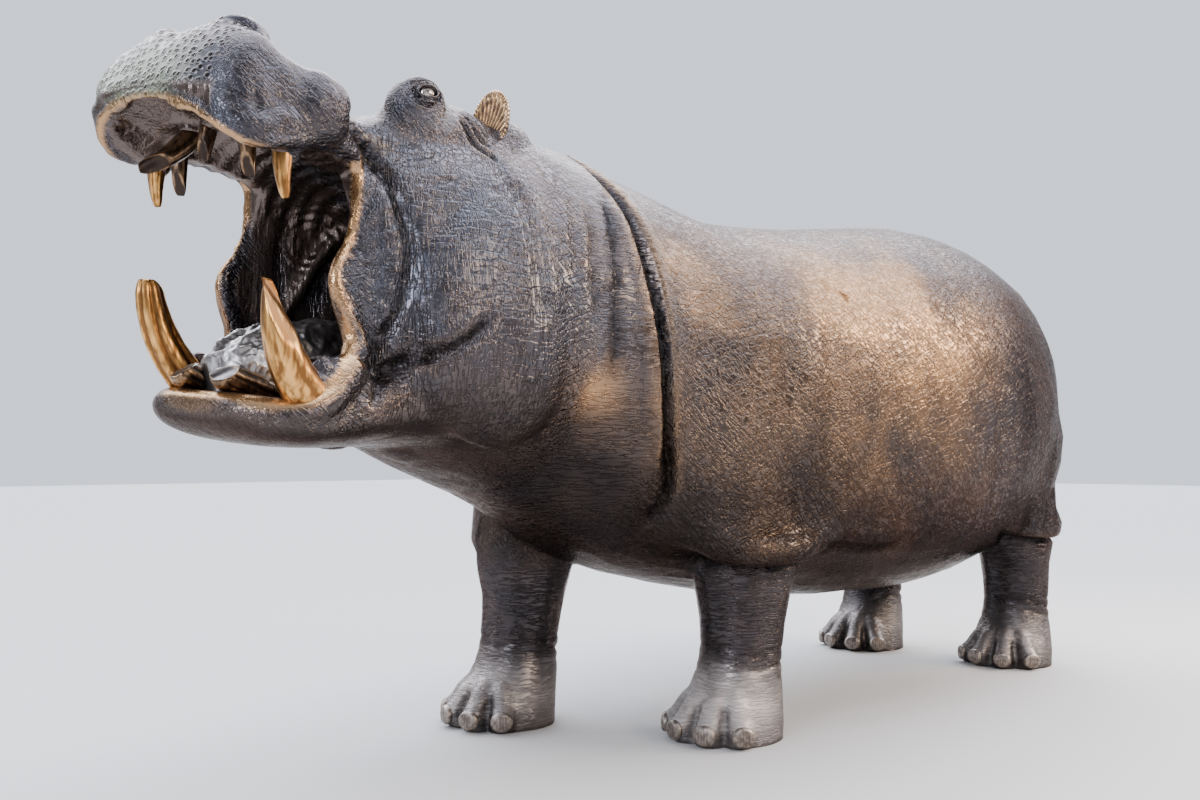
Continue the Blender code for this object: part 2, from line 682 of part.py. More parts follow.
def body_forms(col):
    forms = [long_form("trunk_form", TRUNK, body_point, TRUNK_POWER, col, count=48)]
    for leg, (table, side) in LEGS.items():
        forms.append(leg_form(leg + "_form", table, side, col))
        foot_x, foot_y = table[-1][1], side * table[-1][2]
        for angle in TOE_ANGLES:
            a = math.radians(-side * angle)
            ahead = Vector((-math.cos(a), math.sin(a), 0.0))
            base = Vector((foot_x, foot_y, 0.0))
            forms.append(ellipsoid("toe", base + ahead * TOE_REACH + Vector((0, 0, TOE_HEIGHT)),
                                   TOE_RADII, col, (0.0, 0.0, -a), segments=20, rings=12))
            forms.append(tube("toe_root", [(*(base + ahead * reach + Vector((0, 0, z))), r)
                                           for reach, z, r in TOE_ROOT], col))
    for side in (-1, 1):
        forms += [ellipsoid(name, (x, side * y, z), radii, col) for name, (x, y, z), radii in BODY_BALLS]
    forms += [ellipsoid("skirt", centre, radii, col) for centre, radii in SKIRTS]
    return forms


def thin_out(ob, target):
    """Fewer facets, with the head and the toes keeping more of them than the trunk."""
    group = ob.vertex_groups.new(name="broad")
    for v in ob.data.vertices:
        behind = min(max((v.co.x + HEAD_KEPT_X) / HEAD_KEPT_BLEND, 0.0), 1.0)
        weight = HEAD_THINNING + (1.0 - HEAD_THINNING) * behind
        if v.co.z < TOES_KEPT_Z and behind == 1.0:
            weight = TOES_THINNING
        group.add([v.index], weight, "REPLACE")
    mod = ob.modifiers.new("thin", "DECIMATE")
    mod.decimate_type = "COLLAPSE"
    mod.use_collapse_triangulate = True
    mod.vertex_group = "broad"
    mod.vertex_group_factor = 0.6
    faces = sum(len(p.vertices) - 2 for p in ob.data.polygons)
    mod.ratio = target / faces
    return bake(ob)


def leg_region(leg, col, grow=0.0):
    """A round block about one leg, wide round the foot, its top sloping from belly to flank."""
    table, side = LEGS[leg]
    cx, cy = table[2][1], side * table[2][2]
    foot_x, foot_y = table[-1][1], side * table[-1][2]
    slope = (LEG_OUTER_Z - LEG_INNER_Z) / (2 * LEG_REGION_RADIUS)
    middle_z = (LEG_OUTER_Z + LEG_INNER_Z) / 2
    rings = []
    short, wide = LEG_REGION_RADIUS * LEG_REGION_SHORT, LEG_REGION_RADIUS
    for x0, y0, rx, ry, z in ((foot_x, foot_y, FOOT_REGION_RADIUS, FOOT_REGION_RADIUS, FOOT_REGION_Z[0]),
                              (foot_x, foot_y, FOOT_REGION_RADIUS, FOOT_REGION_RADIUS, FOOT_REGION_Z[1]),
                              (cx, cy, short, wide, LEG_REGION_Z),
                              (cx, cy, short, wide, None)):
        ring = []
        for k in range(LEG_REGION_SIDES):
            a = 2 * math.pi * k / LEG_REGION_SIDES
            x, y = x0 + (rx + grow) * math.cos(a), y0 + (ry + grow) * math.sin(a)
            top = middle_z + slope * (y - cy) * side + grow
            ring.append(Vector((x, y, top if z is None else z)))
        rings.append(ring)
    return loft("leg_region", rings, col)


def floor_block(top, col):
    return block("floor", [Vector((x, y, z)) for z in (-0.5, top)
                           for x, y in ((-2, -1), (2, -1), (2, 1), (-2, 1))], col)


def foot_block(leg, top, col):
    table, side = LEGS[leg]
    cx, cy = table[-1][1], side * table[-1][2]
    long, wide = FOOT_BLOCK
    return block("foot_region", [Vector((cx + x, cy + y, z)) for z in (-0.3, top)
                                 for x, y in ((-long, -wide), (long, -wide), (long, wide), (-long, wide))], col)


def head_block(col, grow=0.0):
    """Everything ahead of the plane where head and neck meet."""
    low_s, high_s = HEAD_BACK_S - grow + HEAD_BLOCK_LEAN, HEAD_BACK_S - grow - HEAD_BLOCK_LEAN
    low = [head_point(s, t, 0.3) for s, t in ((low_s, -1), (FAR, -1), (FAR, 1), (low_s, 1))]
    high = [head_point(s, t, FAR) for s, t in ((high_s, -1), (FAR, -1), (FAR, 1), (high_s, 1))]
    return block("head_region", low + high, col)


def neck_block(col, grow=0.0):
    """Everything ahead of the shoulder crease."""
    lean = math.tan(NECK_LEAN)
    x_low = NECK_BACK_X - lean * 1.6 + grow
    x_high = NECK_BACK_X + lean * 0.5 + grow
    low = [Vector((x, y, 0.1)) for x, y in ((-2.6, -1), (x_low, -1), (x_low, 1), (-2.6, 1))]
    high = [Vector((x, y, 2.2)) for x, y in ((-2.6, -1), (x_high, -1), (x_high, 1), (-2.6, 1))]
    return block("neck_region", low + high, col)


def jaw_block(col, grow=0.0):
    """Everything of the head below the line from hinge to mouth corner."""
    (s0, z0), (s1, z1) = JAW_HINGE, JAW_CORNER
    slope = (z1 - z0) / (s1 - s0)
    s_back, s_front = s0 - 0.6, 1.6
    z_back = z0 - 0.6 * slope + grow
    z_front = z0 + (s_front - s0) * slope + grow
    low = [head_point(s, t, 0.2) for s, t in ((s_back, -1), (s_front, -1), (s_front, 1), (s_back, 1))]
    high = [head_point(s, t, z) for s, t, z in ((s_back, -1, z_back), (s_front, -1, z_front),
                                                (s_front, 1, z_front), (s_back, 1, z_back))]
    return block("jaw_region", low + high, col)


# ---------------------------------------------------------------- assembly
def build():
    clear_scene()
    parts = collection(NAME)
    work = collection(NAME + "_cutters")

    flesh = join("flesh", head_forms(work) + body_forms(work), work)
    fuse(flesh, VOXEL, 6)
    tilt_jaws(thin_out(flesh, FLESH_TRIANGLES))
    floor = floor_block(0.0, work)
    cut_away(flesh, floor)
    bpy.data.objects.remove(floor, do_unlink=True)

    made = [tilt_jaws(tongue("tongue", parts))]
    seats = [tilt_jaws(tongue("tongue_seat", work, grow=SEAT))]
    sides = (("left", -1), ("right", 1))
    for word, side in sides:
        made.append(ear("ear_" + word, side, parts))
        seats.append(ear_seat(side, work))
        s, t, z = EYE
        made.append(head_ball("eye_" + word, s, side * t, z, (EYE_RADIUS,) * 3, parts,
                              segments=12, rings=6))
        seats.append(head_ball("eye_seat", s, side * t, z, (EYE_RADIUS + SEAT,) * 3, work,
                               segments=12, rings=6))
        for label, left, right, opts in TEETH:
            spec = left if side < 0 else right
            made.append(tilt_jaws(tooth(label + word, spec, side, parts, **opts)))
            seats.append(tilt_jaws(tooth(label + "seat", spec, side, work, grow=SEAT, **opts)))
            if spec is LOWER_INCISOR:
                cut_away(made[0], seats[-1])
    made.append(tail("tail", parts))
    seats.append(tail("tail_seat", work, grow=SEAT))
    for leg, (_, side) in LEGS.items():
        for i, angle in enumerate(TOE_ANGLES):
            made.append(nail("nail_%s_%d" % (leg, i + 1), leg, side, -side * angle, parts))
            seats.append(nail("nail_seat", leg, side, -side * angle, work, grow=SEAT))
    for seat in seats:
        cut_away(flesh, seat)
        bpy.data.objects.remove(seat, do_unlink=True)

    for leg in LEGS:
        region, grown = leg_region(leg, work), leg_region(leg, work, GAP)
        limb = taken_out("leg_" + leg, flesh, region, grown, parts)
        foot_low, foot_high = foot_block(leg, FOOT_TOP, work), foot_block(leg, FOOT_TOP + GAP, work)
        foot = taken_out("foot_" + leg, limb, foot_low, foot_high, parts)
        made += [limb, foot]
        for ob in (region, grown, foot_low, foot_high):
            bpy.data.objects.remove(ob, do_unlink=True)
    region, grown = head_block(work), head_block(work, GAP)
    head = taken_out("head", flesh, region, grown, parts)
    jaw_low, jaw_high = jaw_block(work), jaw_block(work, GAP)
    jaw = taken_out("lower_jaw", head, jaw_low, jaw_high, parts)
    neck_low, neck_high = neck_block(work), neck_block(work, GAP)
    neck = taken_out("neck", flesh, neck_low, neck_high, parts)
    trunk = add_object("trunk", flesh.data.copy(), parts)
    for ob in (region, grown, jaw_low, jaw_high, neck_low, neck_high, flesh):
        bpy.data.objects.remove(ob, do_unlink=True)
    made += [head, jaw, neck, trunk]

    for ob in made:
        tidy(ob)
    points = np.array([v.co[:] for ob in made for v in ob.data.vertices])
    centre = (points.min(axis=0) + points.max(axis=0)) / 2
    middle = Matrix.Translation((-centre[0], -centre[1], 0.0))
    polished = ("tusk", "incisor", "canine", "ear", "nail")
    for ob in made:
        ob.data.transform(middle)
        ob.data.materials.clear()
        bright = any(word in ob.name for word in polished)
        ob.data.materials.append(material(ob.name, POLISHED if bright else BRONZE,
                                          0.38 if bright else 0.46))
        ob.data.shade_smooth()
        ob.data.set_sharp_from_angle(angle=math.radians(50))
        ob.data.name = ob.name


build()
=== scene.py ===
"""Looks of a life-size bronze statue of a gaping hippopotamus.

The script is laid out as an add-on: each piece has an operator, and the sizes
and colours that one might change are properties of the scene. Everything is in
metres. The forms are laid out in the build frame, where the head turns about
HEAD_PIVOT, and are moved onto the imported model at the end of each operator.
"""

import math

import bmesh
import bpy
import numpy as np
from mathutils import Euler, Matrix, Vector, noise


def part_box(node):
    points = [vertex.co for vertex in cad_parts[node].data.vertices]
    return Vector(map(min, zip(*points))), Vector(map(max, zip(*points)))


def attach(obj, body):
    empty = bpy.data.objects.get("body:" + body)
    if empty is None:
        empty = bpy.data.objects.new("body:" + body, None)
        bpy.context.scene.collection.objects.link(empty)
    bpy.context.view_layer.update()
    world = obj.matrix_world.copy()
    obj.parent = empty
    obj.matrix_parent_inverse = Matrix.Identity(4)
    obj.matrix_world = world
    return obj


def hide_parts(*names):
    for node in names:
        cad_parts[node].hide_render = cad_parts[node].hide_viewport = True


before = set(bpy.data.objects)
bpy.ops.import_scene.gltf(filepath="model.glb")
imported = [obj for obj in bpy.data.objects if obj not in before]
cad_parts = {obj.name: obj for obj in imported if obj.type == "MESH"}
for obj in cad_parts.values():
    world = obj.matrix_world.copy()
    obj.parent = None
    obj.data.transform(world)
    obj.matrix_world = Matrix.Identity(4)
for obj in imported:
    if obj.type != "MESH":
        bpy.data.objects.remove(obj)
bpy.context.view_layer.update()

bl_info = {
    "name": "Bronze hippopotamus statue",
    "version": (1, 0, 0),
    "blender": (4, 5, 0),
    "location": "View3D > Sidebar > Statue",
    "description": "Cast bronze skin, teeth, eyes, ears, nails and stage of a gaping hippopotamus statue",
    "category": "Object",
}

# ---------------------------------------------------------------- layout
HEAD_YAW = math.radians(11.0)
HEAD_PIVOT = (-1.35, 0.0)
HEAD_TILT = 0.085               # the open jaws tilt, the right side higher
TILT_STILL_T = -0.16            # the line along the jaws that keeps its height
TILT_FROM_S, TILT_BLEND_S = 0.62, 0.30
LIP_ROLL = 0.07                 # the upper lip's front rolls further
LIP_ROLL_FROM_S, LIP_ROLL_BLEND_S = 0.96, 0.10
LIP_ROLL_Z, LIP_ROLL_REACH = 1.48, 0.07
EYE = (0.548, 0.232, 1.652)
EYE_RADIUS = 0.024
EYE_OPENING = (0.0215, 0.0122)  # half length and half height between the lids
EAR = (0.300, 0.215, 1.645)
EAR_ROLL, EAR_YAW = math.radians(14), math.radians(38)
EAR_RADII = (0.030, 0.046, 0.086)
NOSE_SNUB = 0.005               # how far the very front of the nose is set back
SIDES = (("left", -1), ("right", 1))

# Trunk and neck: x, top, bottom, half width
TRUNK = (
    (-1.66, 1.56, 0.92, 0.26), (-1.50, 1.655, 0.745, 0.385), (-1.30, 1.665, 0.635, 0.455),
    (-1.05, 1.615, 0.505, 0.520), (-0.80, 1.560, 0.435, 0.570), (-0.50, 1.570, 0.375, 0.600),
    (-0.20, 1.606, 0.342, 0.618), (0.10, 1.650, 0.325, 0.628), (0.40, 1.690, 0.322, 0.620),
    (0.70, 1.672, 0.352, 0.595), (0.98, 1.605, 0.425, 0.535), (1.20, 1.495, 0.540, 0.430),
    (1.34, 1.345, 0.700, 0.290), (1.42, 1.160, 0.920, 0.130),
)
# Head: distance along the head, top, bottom, half width
SKULL = (
    (-0.15, 1.660, 0.665, 0.420), (0.05, 1.675, 0.700, 0.425), (0.25, 1.672, 0.765, 0.400),
    (0.42, 1.650, 0.828, 0.365), (0.56, 1.622, 0.875, 0.310), (0.66, 1.590, 0.895, 0.250),
    (0.720, 1.530, 0.940, 0.208),
)
MUZZLE = (
    (0.45, 1.640, 1.400, 0.250), (0.60, 1.622, 1.430, 0.215), (0.70, 1.595, 1.435, 0.212),
    (0.80, 1.600, 1.440, 0.238), (0.90, 1.668, 1.440, 0.258), (0.98, 1.704, 1.440, 0.266),
    (1.04, 1.690, 1.452, 0.258), (1.09, 1.635, 1.478, 0.222), (1.125, 1.565, 1.512, 0.145),
)
JAW = (
    (0.30, 1.080, 0.830, 0.310), (0.48, 1.070, 0.838, 0.290), (0.62, 1.035, 0.838, 0.266),
    (0.74, 0.985, 0.832, 0.250), (0.84, 0.952, 0.830, 0.246), (0.91, 0.945, 0.838, 0.228),
    (0.96, 0.944, 0.858, 0.188), (0.998, 0.935, 0.884, 0.128),
)
PALATE = (
    (0.40, 1.260, 1.130, 0.060), (0.47, 1.370, 1.080, 0.110), (0.60, 1.455, 1.050, 0.150),
    (0.72, 1.480, 1.050, 0.172), (0.84, 1.498, 1.050, 0.204), (0.95, 1.516, 1.050, 0.230),
    (1.02, 1.530, 1.050, 0.232), (1.08, 1.542, 1.050, 0.208), (1.14, 1.550, 1.050, 0.174),
    (1.30, 1.556, 1.050, 0.140),
)
TROUGH = (
    (0.42, 1.250, 1.080, 0.070), (0.50, 1.250, 1.020, 0.120), (0.62, 1.250, 0.960, 0.152),
    (0.74, 1.250, 0.920, 0.182), (0.83, 1.250, 0.900, 0.205), (0.90, 1.250, 0.894, 0.190),
    (0.945, 1.250, 0.900, 0.155), (0.972, 1.250, 0.910, 0.105),
)
MEMBRANE = (                    # fold of flesh from palate to tongue: s, t, z, radius
    (0.49, 0.085, 1.40, 0.020), (0.54, 0.118, 1.32, 0.019), (0.585, 0.140, 1.24, 0.018),
    (0.63, 0.156, 1.16, 0.018), (0.69, 0.172, 1.07, 0.020),
)
TONGUE = (
    (0.44, 1.130, 0.985, 0.060), (0.54, 1.140, 0.945, 0.090), (0.66, 1.135, 0.915, 0.108),
    (0.78, 1.115, 0.895, 0.112), (0.86, 1.085, 0.888, 0.104), (0.910, 1.050, 0.900, 0.084),
    (0.935, 1.015, 0.930, 0.050),
)
# How square each form's section is: 2 is an ellipse
TRUNK_POWER, SKULL_POWER, JAW_POWER, PALATE_POWER, TROUGH_POWER, TONGUE_POWER = 2.25, 2.5, 2.8, 2.7, 2.9, 2.3
# Round forms on both sides of the head: name, (s, t, z), radii, pitch and yaw in degrees
HEAD_BALLS = (
    ("brow", (0.530, 0.185, 1.622), (0.088, 0.066, 0.082), 0, 0),
    ("brow_root", (0.42, 0.14, 1.575), (0.20, 0.13, 0.105), 0, 0),
    ("canine_sheath", (0.868, 0.222, 1.545), (0.084, 0.070, 0.084), 0, 0),
    ("nostril", (0.968, 0.112, 1.664), (0.070, 0.074, 0.060), 10, 0),
    ("lip_flap", (0.975, 0.228, 1.490), (0.115, 0.046, 0.050), 0, 0),
    ("lip_corner", (1.040, 0.198, 1.512), (0.070, 0.050, 0.056), 0, 0),
    ("chop", (0.760, 0.212, 0.960), (0.120, 0.034, 0.070), 20, 0),
    ("cheek", (0.36, 0.285, 1.16), (0.26, 0.125, 0.330), 0, 8),
    ("jowl", (0.40, 0.245, 1.010), (0.22, 0.110, 0.150), 0, 0),
    ("cheek_rim", (0.735, 0.190, 1.190), (0.056, 0.028, 0.088), 0, 14),
    ("ear_root", (0.235, 0.205, 1.590), (0.085, 0.070, 0.080), 0, 0),
)
THROAT = ((0.20, 0.0, 0.98), (0.30, 0.28, 0.18), -14)
# Gums round the tusks and canines on both sides, in front, and round each upper incisor
GUM_BALLS = (
    ("gum_sleeve", (0.932, 0.214, 1.474), (0.038, 0.036, 0.060), 0, 0),
    ("gum_pad", (0.795, 0.184, 0.925), (0.092, 0.050, 0.046), 0, 0),
)
GUM_FRONT = ((0.86, 0.0, 0.900), (0.09, 0.15, 0.030))
PEG_GUMS = (
    ((0.985, -0.150, 1.502), (0.027, 0.027, 0.027)), ((0.992, -0.052, 1.508), (0.030, 0.028, 0.028)),
    ((0.932, 0.150, 1.502), (0.027, 0.027, 0.027)), ((0.966, 0.052, 1.508), (0.030, 0.028, 0.028)),
)
# Shoulder and haunch on both sides, then the skin that hangs over each leg: centre, radii
BODY_BALLS = (((-0.80, 0.345, 0.905), (0.40, 0.222, 0.385)), ((0.92, 0.268, 0.885), (0.36, 0.265, 0.420)))
SKIRT_BALLS = (
    ((1.045, -0.315, 0.545), (0.178, 0.158, 0.050)), ((0.990, 0.315, 0.545), (0.178, 0.158, 0.050)),
    ((-0.695, -0.330, 0.570), (0.222, 0.172, 0.046)), ((-0.945, 0.325, 0.585), (0.140, 0.140, 0.036)),
)
# Toes: reach from the foot's middle, height, radii; root of each: reach, z, radius
TOE_REACH, TOE_HEIGHT, TOE_RADII = 0.128, 0.038, (0.066, 0.047, 0.052)
TOE_ROOT = ((0.070, 0.135, 0.030), (0.105, 0.098, 0.042), (0.130, 0.055, 0.044))
NAIL_REACH, NAIL_HEIGHT, NAIL_RADII = 0.180, 0.036, (0.020, 0.034, 0.029)
# Legs: z, x, distance from the middle line, half length, half width
FORE_LEFT = (
    (0.86, -0.70, 0.300, 0.215, 0.190), (0.62, -0.675, 0.315, 0.195, 0.178),
    (0.50, -0.668, 0.312, 0.172, 0.160), (0.36, -0.668, 0.305, 0.136, 0.132),
    (0.23, -0.675, 0.302, 0.128, 0.125), (0.14, -0.695, 0.300, 0.142, 0.138),
    (0.06, -0.725, 0.300, 0.160, 0.158), (-0.03, -0.735, 0.300, 0.165, 0.162),
)
FORE_RIGHT = (
    (0.86, -0.94, 0.300, 0.215, 0.190), (0.62, -0.975, 0.315, 0.188, 0.174),
    (0.50, -0.995, 0.312, 0.164, 0.154), (0.36, -1.012, 0.305, 0.134, 0.130),
    (0.23, -1.030, 0.302, 0.127, 0.124), (0.14, -1.055, 0.300, 0.142, 0.138),
    (0.06, -1.085, 0.300, 0.160, 0.158), (-0.03, -1.095, 0.300, 0.165, 0.162),
)
HIND_LEFT = (
    (0.82, 0.96, 0.300, 0.250, 0.190), (0.60, 1.02, 0.312, 0.205, 0.172),
    (0.49, 1.045, 0.315, 0.160, 0.150), (0.36, 1.055, 0.312, 0.134, 0.130),
    (0.23, 1.055, 0.310, 0.126, 0.124), (0.14, 1.035, 0.310, 0.142, 0.138),
    (0.06, 1.000, 0.310, 0.160, 0.158), (-0.03, 0.990, 0.310, 0.165, 0.162),
)
HIND_RIGHT = (
    (0.82, 0.94, 0.300, 0.250, 0.190), (0.60, 0.98, 0.312, 0.205, 0.172),
    (0.49, 0.990, 0.315, 0.160, 0.150), (0.36, 0.990, 0.312, 0.134, 0.130),
    (0.23, 0.985, 0.310, 0.126, 0.124), (0.14, 0.965, 0.310, 0.142, 0.138),
    (0.06, 0.930, 0.310, 0.160, 0.158), (-0.03, 0.920, 0.310, 0.165, 0.162),
)
LEGS = {"fore_left": (FORE_LEFT, -1), "fore_right": (FORE_RIGHT, 1),
        "hind_left": (HIND_LEFT, -1), "hind_right": (HIND_RIGHT, 1)}
TOE_ANGLES = (-54.0, -19.0, 17.0, 50.0)
# Tail: x, z, half thickness, half width
TAIL = (
    (1.270, 1.235, 0.048, 0.062), (1.375, 1.262, 0.048, 0.060), (1.448, 1.205, 0.042, 0.054),
    (1.475, 1.110, 0.034, 0.046), (1.480, 1.000, 0.027, 0.040), (1.477, 0.900, 0.021, 0.037),
    (1.471, 0.815, 0.016, 0.034), (1.467, 0.765, 0.007, 0.016),
)
# Lips: s, t, z, radius, from the middle of the front to the corner of the mouth
UPPER_LIP = (
    (1.120, 0.000, 1.532, 0.011), (1.118, 0.070, 1.528, 0.011), (1.108, 0.142, 1.510, 0.012),
    (1.088, 0.200, 1.482, 0.014), (1.050, 0.240, 1.454, 0.016), (0.996, 0.256, 1.448, 0.018),
    (0.932, 0.250, 1.464, 0.018), (0.865, 0.237, 1.478, 0.017), (0.800, 0.220, 1.482, 0.015),
    (0.750, 0.206, 1.480, 0.013), (0.715, 0.190, 1.467, 0.012),
)
LOWER_LIP = (
    (0.968, 0.000, 0.916, 0.030), (0.962, 0.080, 0.916, 0.031), (0.941, 0.146, 0.911, 0.033),
    (0.903, 0.196, 0.908, 0.033), (0.855, 0.222, 0.920, 0.033), (0.806, 0.228, 0.952, 0.032),
    (0.764, 0.220, 1.002, 0.031), (0.736, 0.205, 1.060, 0.028), (0.744, 0.198, 1.110, 0.026),
    (0.766, 0.195, 1.155, 0.023), (0.778, 0.193, 1.202, 0.020), (0.764, 0.192, 1.242, 0.017),
    (0.738, 0.190, 1.287, 0.014), (0.722, 0.188, 1.345, 0.012), (0.714, 0.186, 1.410, 0.011),
    (0.715, 0.188, 1.465, 0.011),
)

# Teeth: base (s, t, z), tip, bow of the middle, base radius; t is for the right side
LOWER_TUSK_LEFT = ((0.808, 0.186, 0.922), (0.958, 0.215, 1.180), (0.044, 0.014, -0.026), 0.052)
LOWER_TUSK_RIGHT = ((0.808, 0.186, 0.922), (0.958, 0.215, 1.180), (0.028, 0.012, -0.018), 0.050)
LOWER_INCISOR = ((0.800, 0.070, 0.938), (0.984, 0.068, 0.982), (0.0, 0.0, -0.004), 0.034)
UPPER_CANINE = ((0.925, 0.212, 1.520), (0.935, 0.218, 1.345), (0.012, 0.0, 0.0), 0.027)
UPPER_INNER_LEFT = ((0.990, 0.050, 1.530), (1.014, 0.052, 1.420), (0.0, 0.0, 0.0), 0.020)
UPPER_INNER_RIGHT = ((0.940, 0.052, 1.528), (1.078, 0.062, 1.392), (-0.012, 0.0, -0.010), 0.026)
UPPER_OUTER_LEFT = ((0.985, 0.150, 1.520), (0.974, 0.152, 1.386), (0.0, 0.0, 0.0), 0.021)
UPPER_OUTER_RIGHT = ((0.932, 0.150, 1.520), (0.925, 0.152, 1.370), (0.0, 0.0, 0.0), 0.021)

# Folds of the head, seen from the side: path of (s, z), width, depth, how far the
# upper or rear lip of the fold stands out, and how far that lip reaches
HEAD_FOLDS = (
    # crease behind the pleats of the mouth's corner
    (((0.84, 1.56), (0.78, 1.53), (0.72, 1.50), (0.67, 1.46), (0.65, 1.38), (0.635, 1.31),
      (0.63, 1.24), (0.64, 1.18), (0.65, 1.13), (0.67, 1.08), (0.685, 1.03), (0.73, 0.97),
      (0.79, 0.92)), 0.013, 0.015, 0.005, 0.05),
    # jowl hanging over the throat
    (((0.48, 1.150), (0.505, 1.105), (0.56, 1.058), (0.635, 1.022), (0.685, 0.982), (0.713, 0.940),
      (0.722, 0.910)), 0.013, 0.015, 0.005, 0.04),
    (((0.615, 1.15), (0.612, 1.10), (0.60, 1.05), (0.585, 1.02)), 0.012, 0.006, 0.003, 0.03),
    # three folds under the ear
    (((0.455, 1.625), (0.44, 1.585), (0.42, 1.555), (0.39, 1.535), (0.37, 1.52)), 0.010, 0.014, 0.006, 0.018),
    (((0.435, 1.640), (0.415, 1.600), (0.395, 1.575), (0.365, 1.560)), 0.009, 0.013, 0.006, 0.016),
    (((0.415, 1.650), (0.395, 1.620), (0.375, 1.595), (0.345, 1.580)), 0.008, 0.011, 0.005, 0.014),
    # lines across the cheek
    (((0.62, 1.49), (0.58, 1.50), (0.53, 1.515)), 0.007, 0.004, 0.002, 0.015),
    (((0.61, 1.43), (0.57, 1.435), (0.52, 1.45)), 0.007, 0.003, 0.002, 0.015),
    (((0.44, 1.425), (0.41, 1.44), (0.38, 1.43)), 0.007, 0.004, 0.002, 0.012),
)
# Folds of neck and trunk, the same with a path of (x, z)
BODY_FOLDS = (
    # long deep crease in front of the shoulder
    (((-1.33, 1.72), (-1.275, 1.60), (-1.245, 1.50), (-1.23, 1.38), (-1.215, 1.24), (-1.195, 1.10),
      (-1.18, 0.98), (-1.16, 0.88), (-1.135, 0.78), (-1.115, 0.68), (-1.10, 0.58)), 0.010, 0.030, 0.010, 0.045),
    # wide hollow ahead of it, then the lesser folds of the neck
    (((-1.275, 1.42), (-1.262, 1.24), (-1.245, 1.08), (-1.23, 0.92), (-1.20, 0.78)), 0.030, 0.014, 0.0, 0.05),
    (((-1.30, 1.50), (-1.315, 1.40), (-1.325, 1.29), (-1.33, 1.19), (-1.335, 1.09), (-1.33, 0.99)),
     0.018, 0.011, 0.006, 0.035),
    (((-1.385, 1.46), (-1.395, 1.36), (-1.40, 1.26), (-1.395, 1.16)), 0.018, 0.008, 0.004, 0.035),
    (((-1.455, 1.45), (-1.46, 1.34), (-1.465, 1.24)), 0.020, 0.004, 0.002, 0.035),
    # fold running down from the ear
    (((-1.69, 1.54), (-1.655, 1.47), (-1.625, 1.39), (-1.605, 1.30), (-1.60, 1.22), (-1.585, 1.12)),
     0.026, 0.008, 0.003, 0.05),
    # belly fold behind the foreleg
    (((-0.52, 0.575), (-0.44, 0.550), (-0.32, 0.532), (-0.20, 0.525), (-0.08, 0.535)), 0.013, 0.012, 0.008, 0.04),
    # flank and rump
    (((-0.57, 1.24), (-0.595, 1.10), (-0.61, 0.96), (-0.61, 0.82), (-0.58, 0.70)), 0.045, 0.008, 0.004, 0.10),
    (((-0.54, 1.315), (-0.50, 1.330), (-0.455, 1.318), (-0.435, 1.27)), 0.010, 0.005, 0.002, 0.03),
    (((-0.80, 1.15), (-0.785, 1.05), (-0.765, 0.95)), 0.055, 0.008, 0.003, 0.09),
    (((-0.02, 1.48), (0.04, 1.34), (0.15, 1.24), (0.28, 1.15), (0.35, 1.02), (0.37, 0.88), (0.37, 0.74),
      (0.42, 0.62)), 0.050, 0.008, 0.003, 0.09),
    (((0.16, 1.42), (0.32, 1.30), (0.48, 1.15), (0.55, 0.98), (0.56, 0.82)), 0.050, 0.006, 0.003, 0.09),
)
SUNLIT_PATCHES = (                # x, z and radius of golden brown patches of painted sunlight
    (-1.40, 0.98, 0.08), (-1.12, 1.28, 0.08), (-0.40, 1.22, 0.24), (-0.05, 1.24, 0.26), (-0.25, 1.02, 0.22),
)
# Skirts of skin that hang over the legs: edge as (x, z), swell above, hollow below, droop, right side's shift
SKIRTS = (
    (((-1.12, 0.590), (-1.05, 0.592), (-0.99, 0.572), (-0.92, 0.550), (-0.84, 0.532), (-0.76, 0.524),
      (-0.67, 0.528), (-0.59, 0.542), (-0.50, 0.545), (-0.40, 0.530)), 0.040, 0.028, 0.024, -0.32),
    (((0.62, 0.545), (0.74, 0.540), (0.84, 0.528), (0.94, 0.515), (1.03, 0.508), (1.11, 0.515), (1.24, 0.545)),
     0.020, 0.026, 0.020, -0.055),
)


def head_point(s, t, z):
    """Build-frame point of (along the head, to its right, up)."""
    c, d = math.cos(HEAD_YAW), math.sin(HEAD_YAW)
    return Vector((HEAD_PIVOT[0] - s * c - t * d, HEAD_PIVOT[1] - s * d + t * c, z))


def head_directions(vectors):
    """How far build-frame vectors reach ahead along the head, and to its right."""
    c, d = math.cos(HEAD_YAW), math.sin(HEAD_YAW)
    x, y = vectors[:, 0], vectors[:, 1]
    return -(x * c + y * d), -x * d + y * c


def head_coordinates(points):
    """(s, t, z) rows of build-frame points: along the head, to its right, up."""
    return np.column_stack((*head_directions(points[:, :2] - HEAD_PIVOT), points[:, 2]))


def eye_point(side):
    return head_point(EYE[0], side * EYE[1], EYE[2])


def tilt_jaws(points):
    """Build-frame points with the jaws tilted, the head behind them left as it is."""
    s, t, z = head_coordinates(points).T
    out = points.copy()
    out[:, 2] += HEAD_TILT * (t - TILT_STILL_T) * ease((s - TILT_FROM_S) / TILT_BLEND_S)
    near_lip = bell((z - LIP_ROLL_Z) / LIP_ROLL_REACH)
    out[:, 2] += LIP_ROLL * t * ease((s - LIP_ROLL_FROM_S) / LIP_ROLL_BLEND_S) * near_lip
    return out


def body_point(x, y, z):
    return Vector((x, y, z))


def packed_shift():
    """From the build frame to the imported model, read off the left eyeball."""
    low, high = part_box("eye_left")
    step = (low + high) / 2 - eye_point(-1)
    return Vector((step.x, step.y, 0.0))


SHIFT = packed_shift()


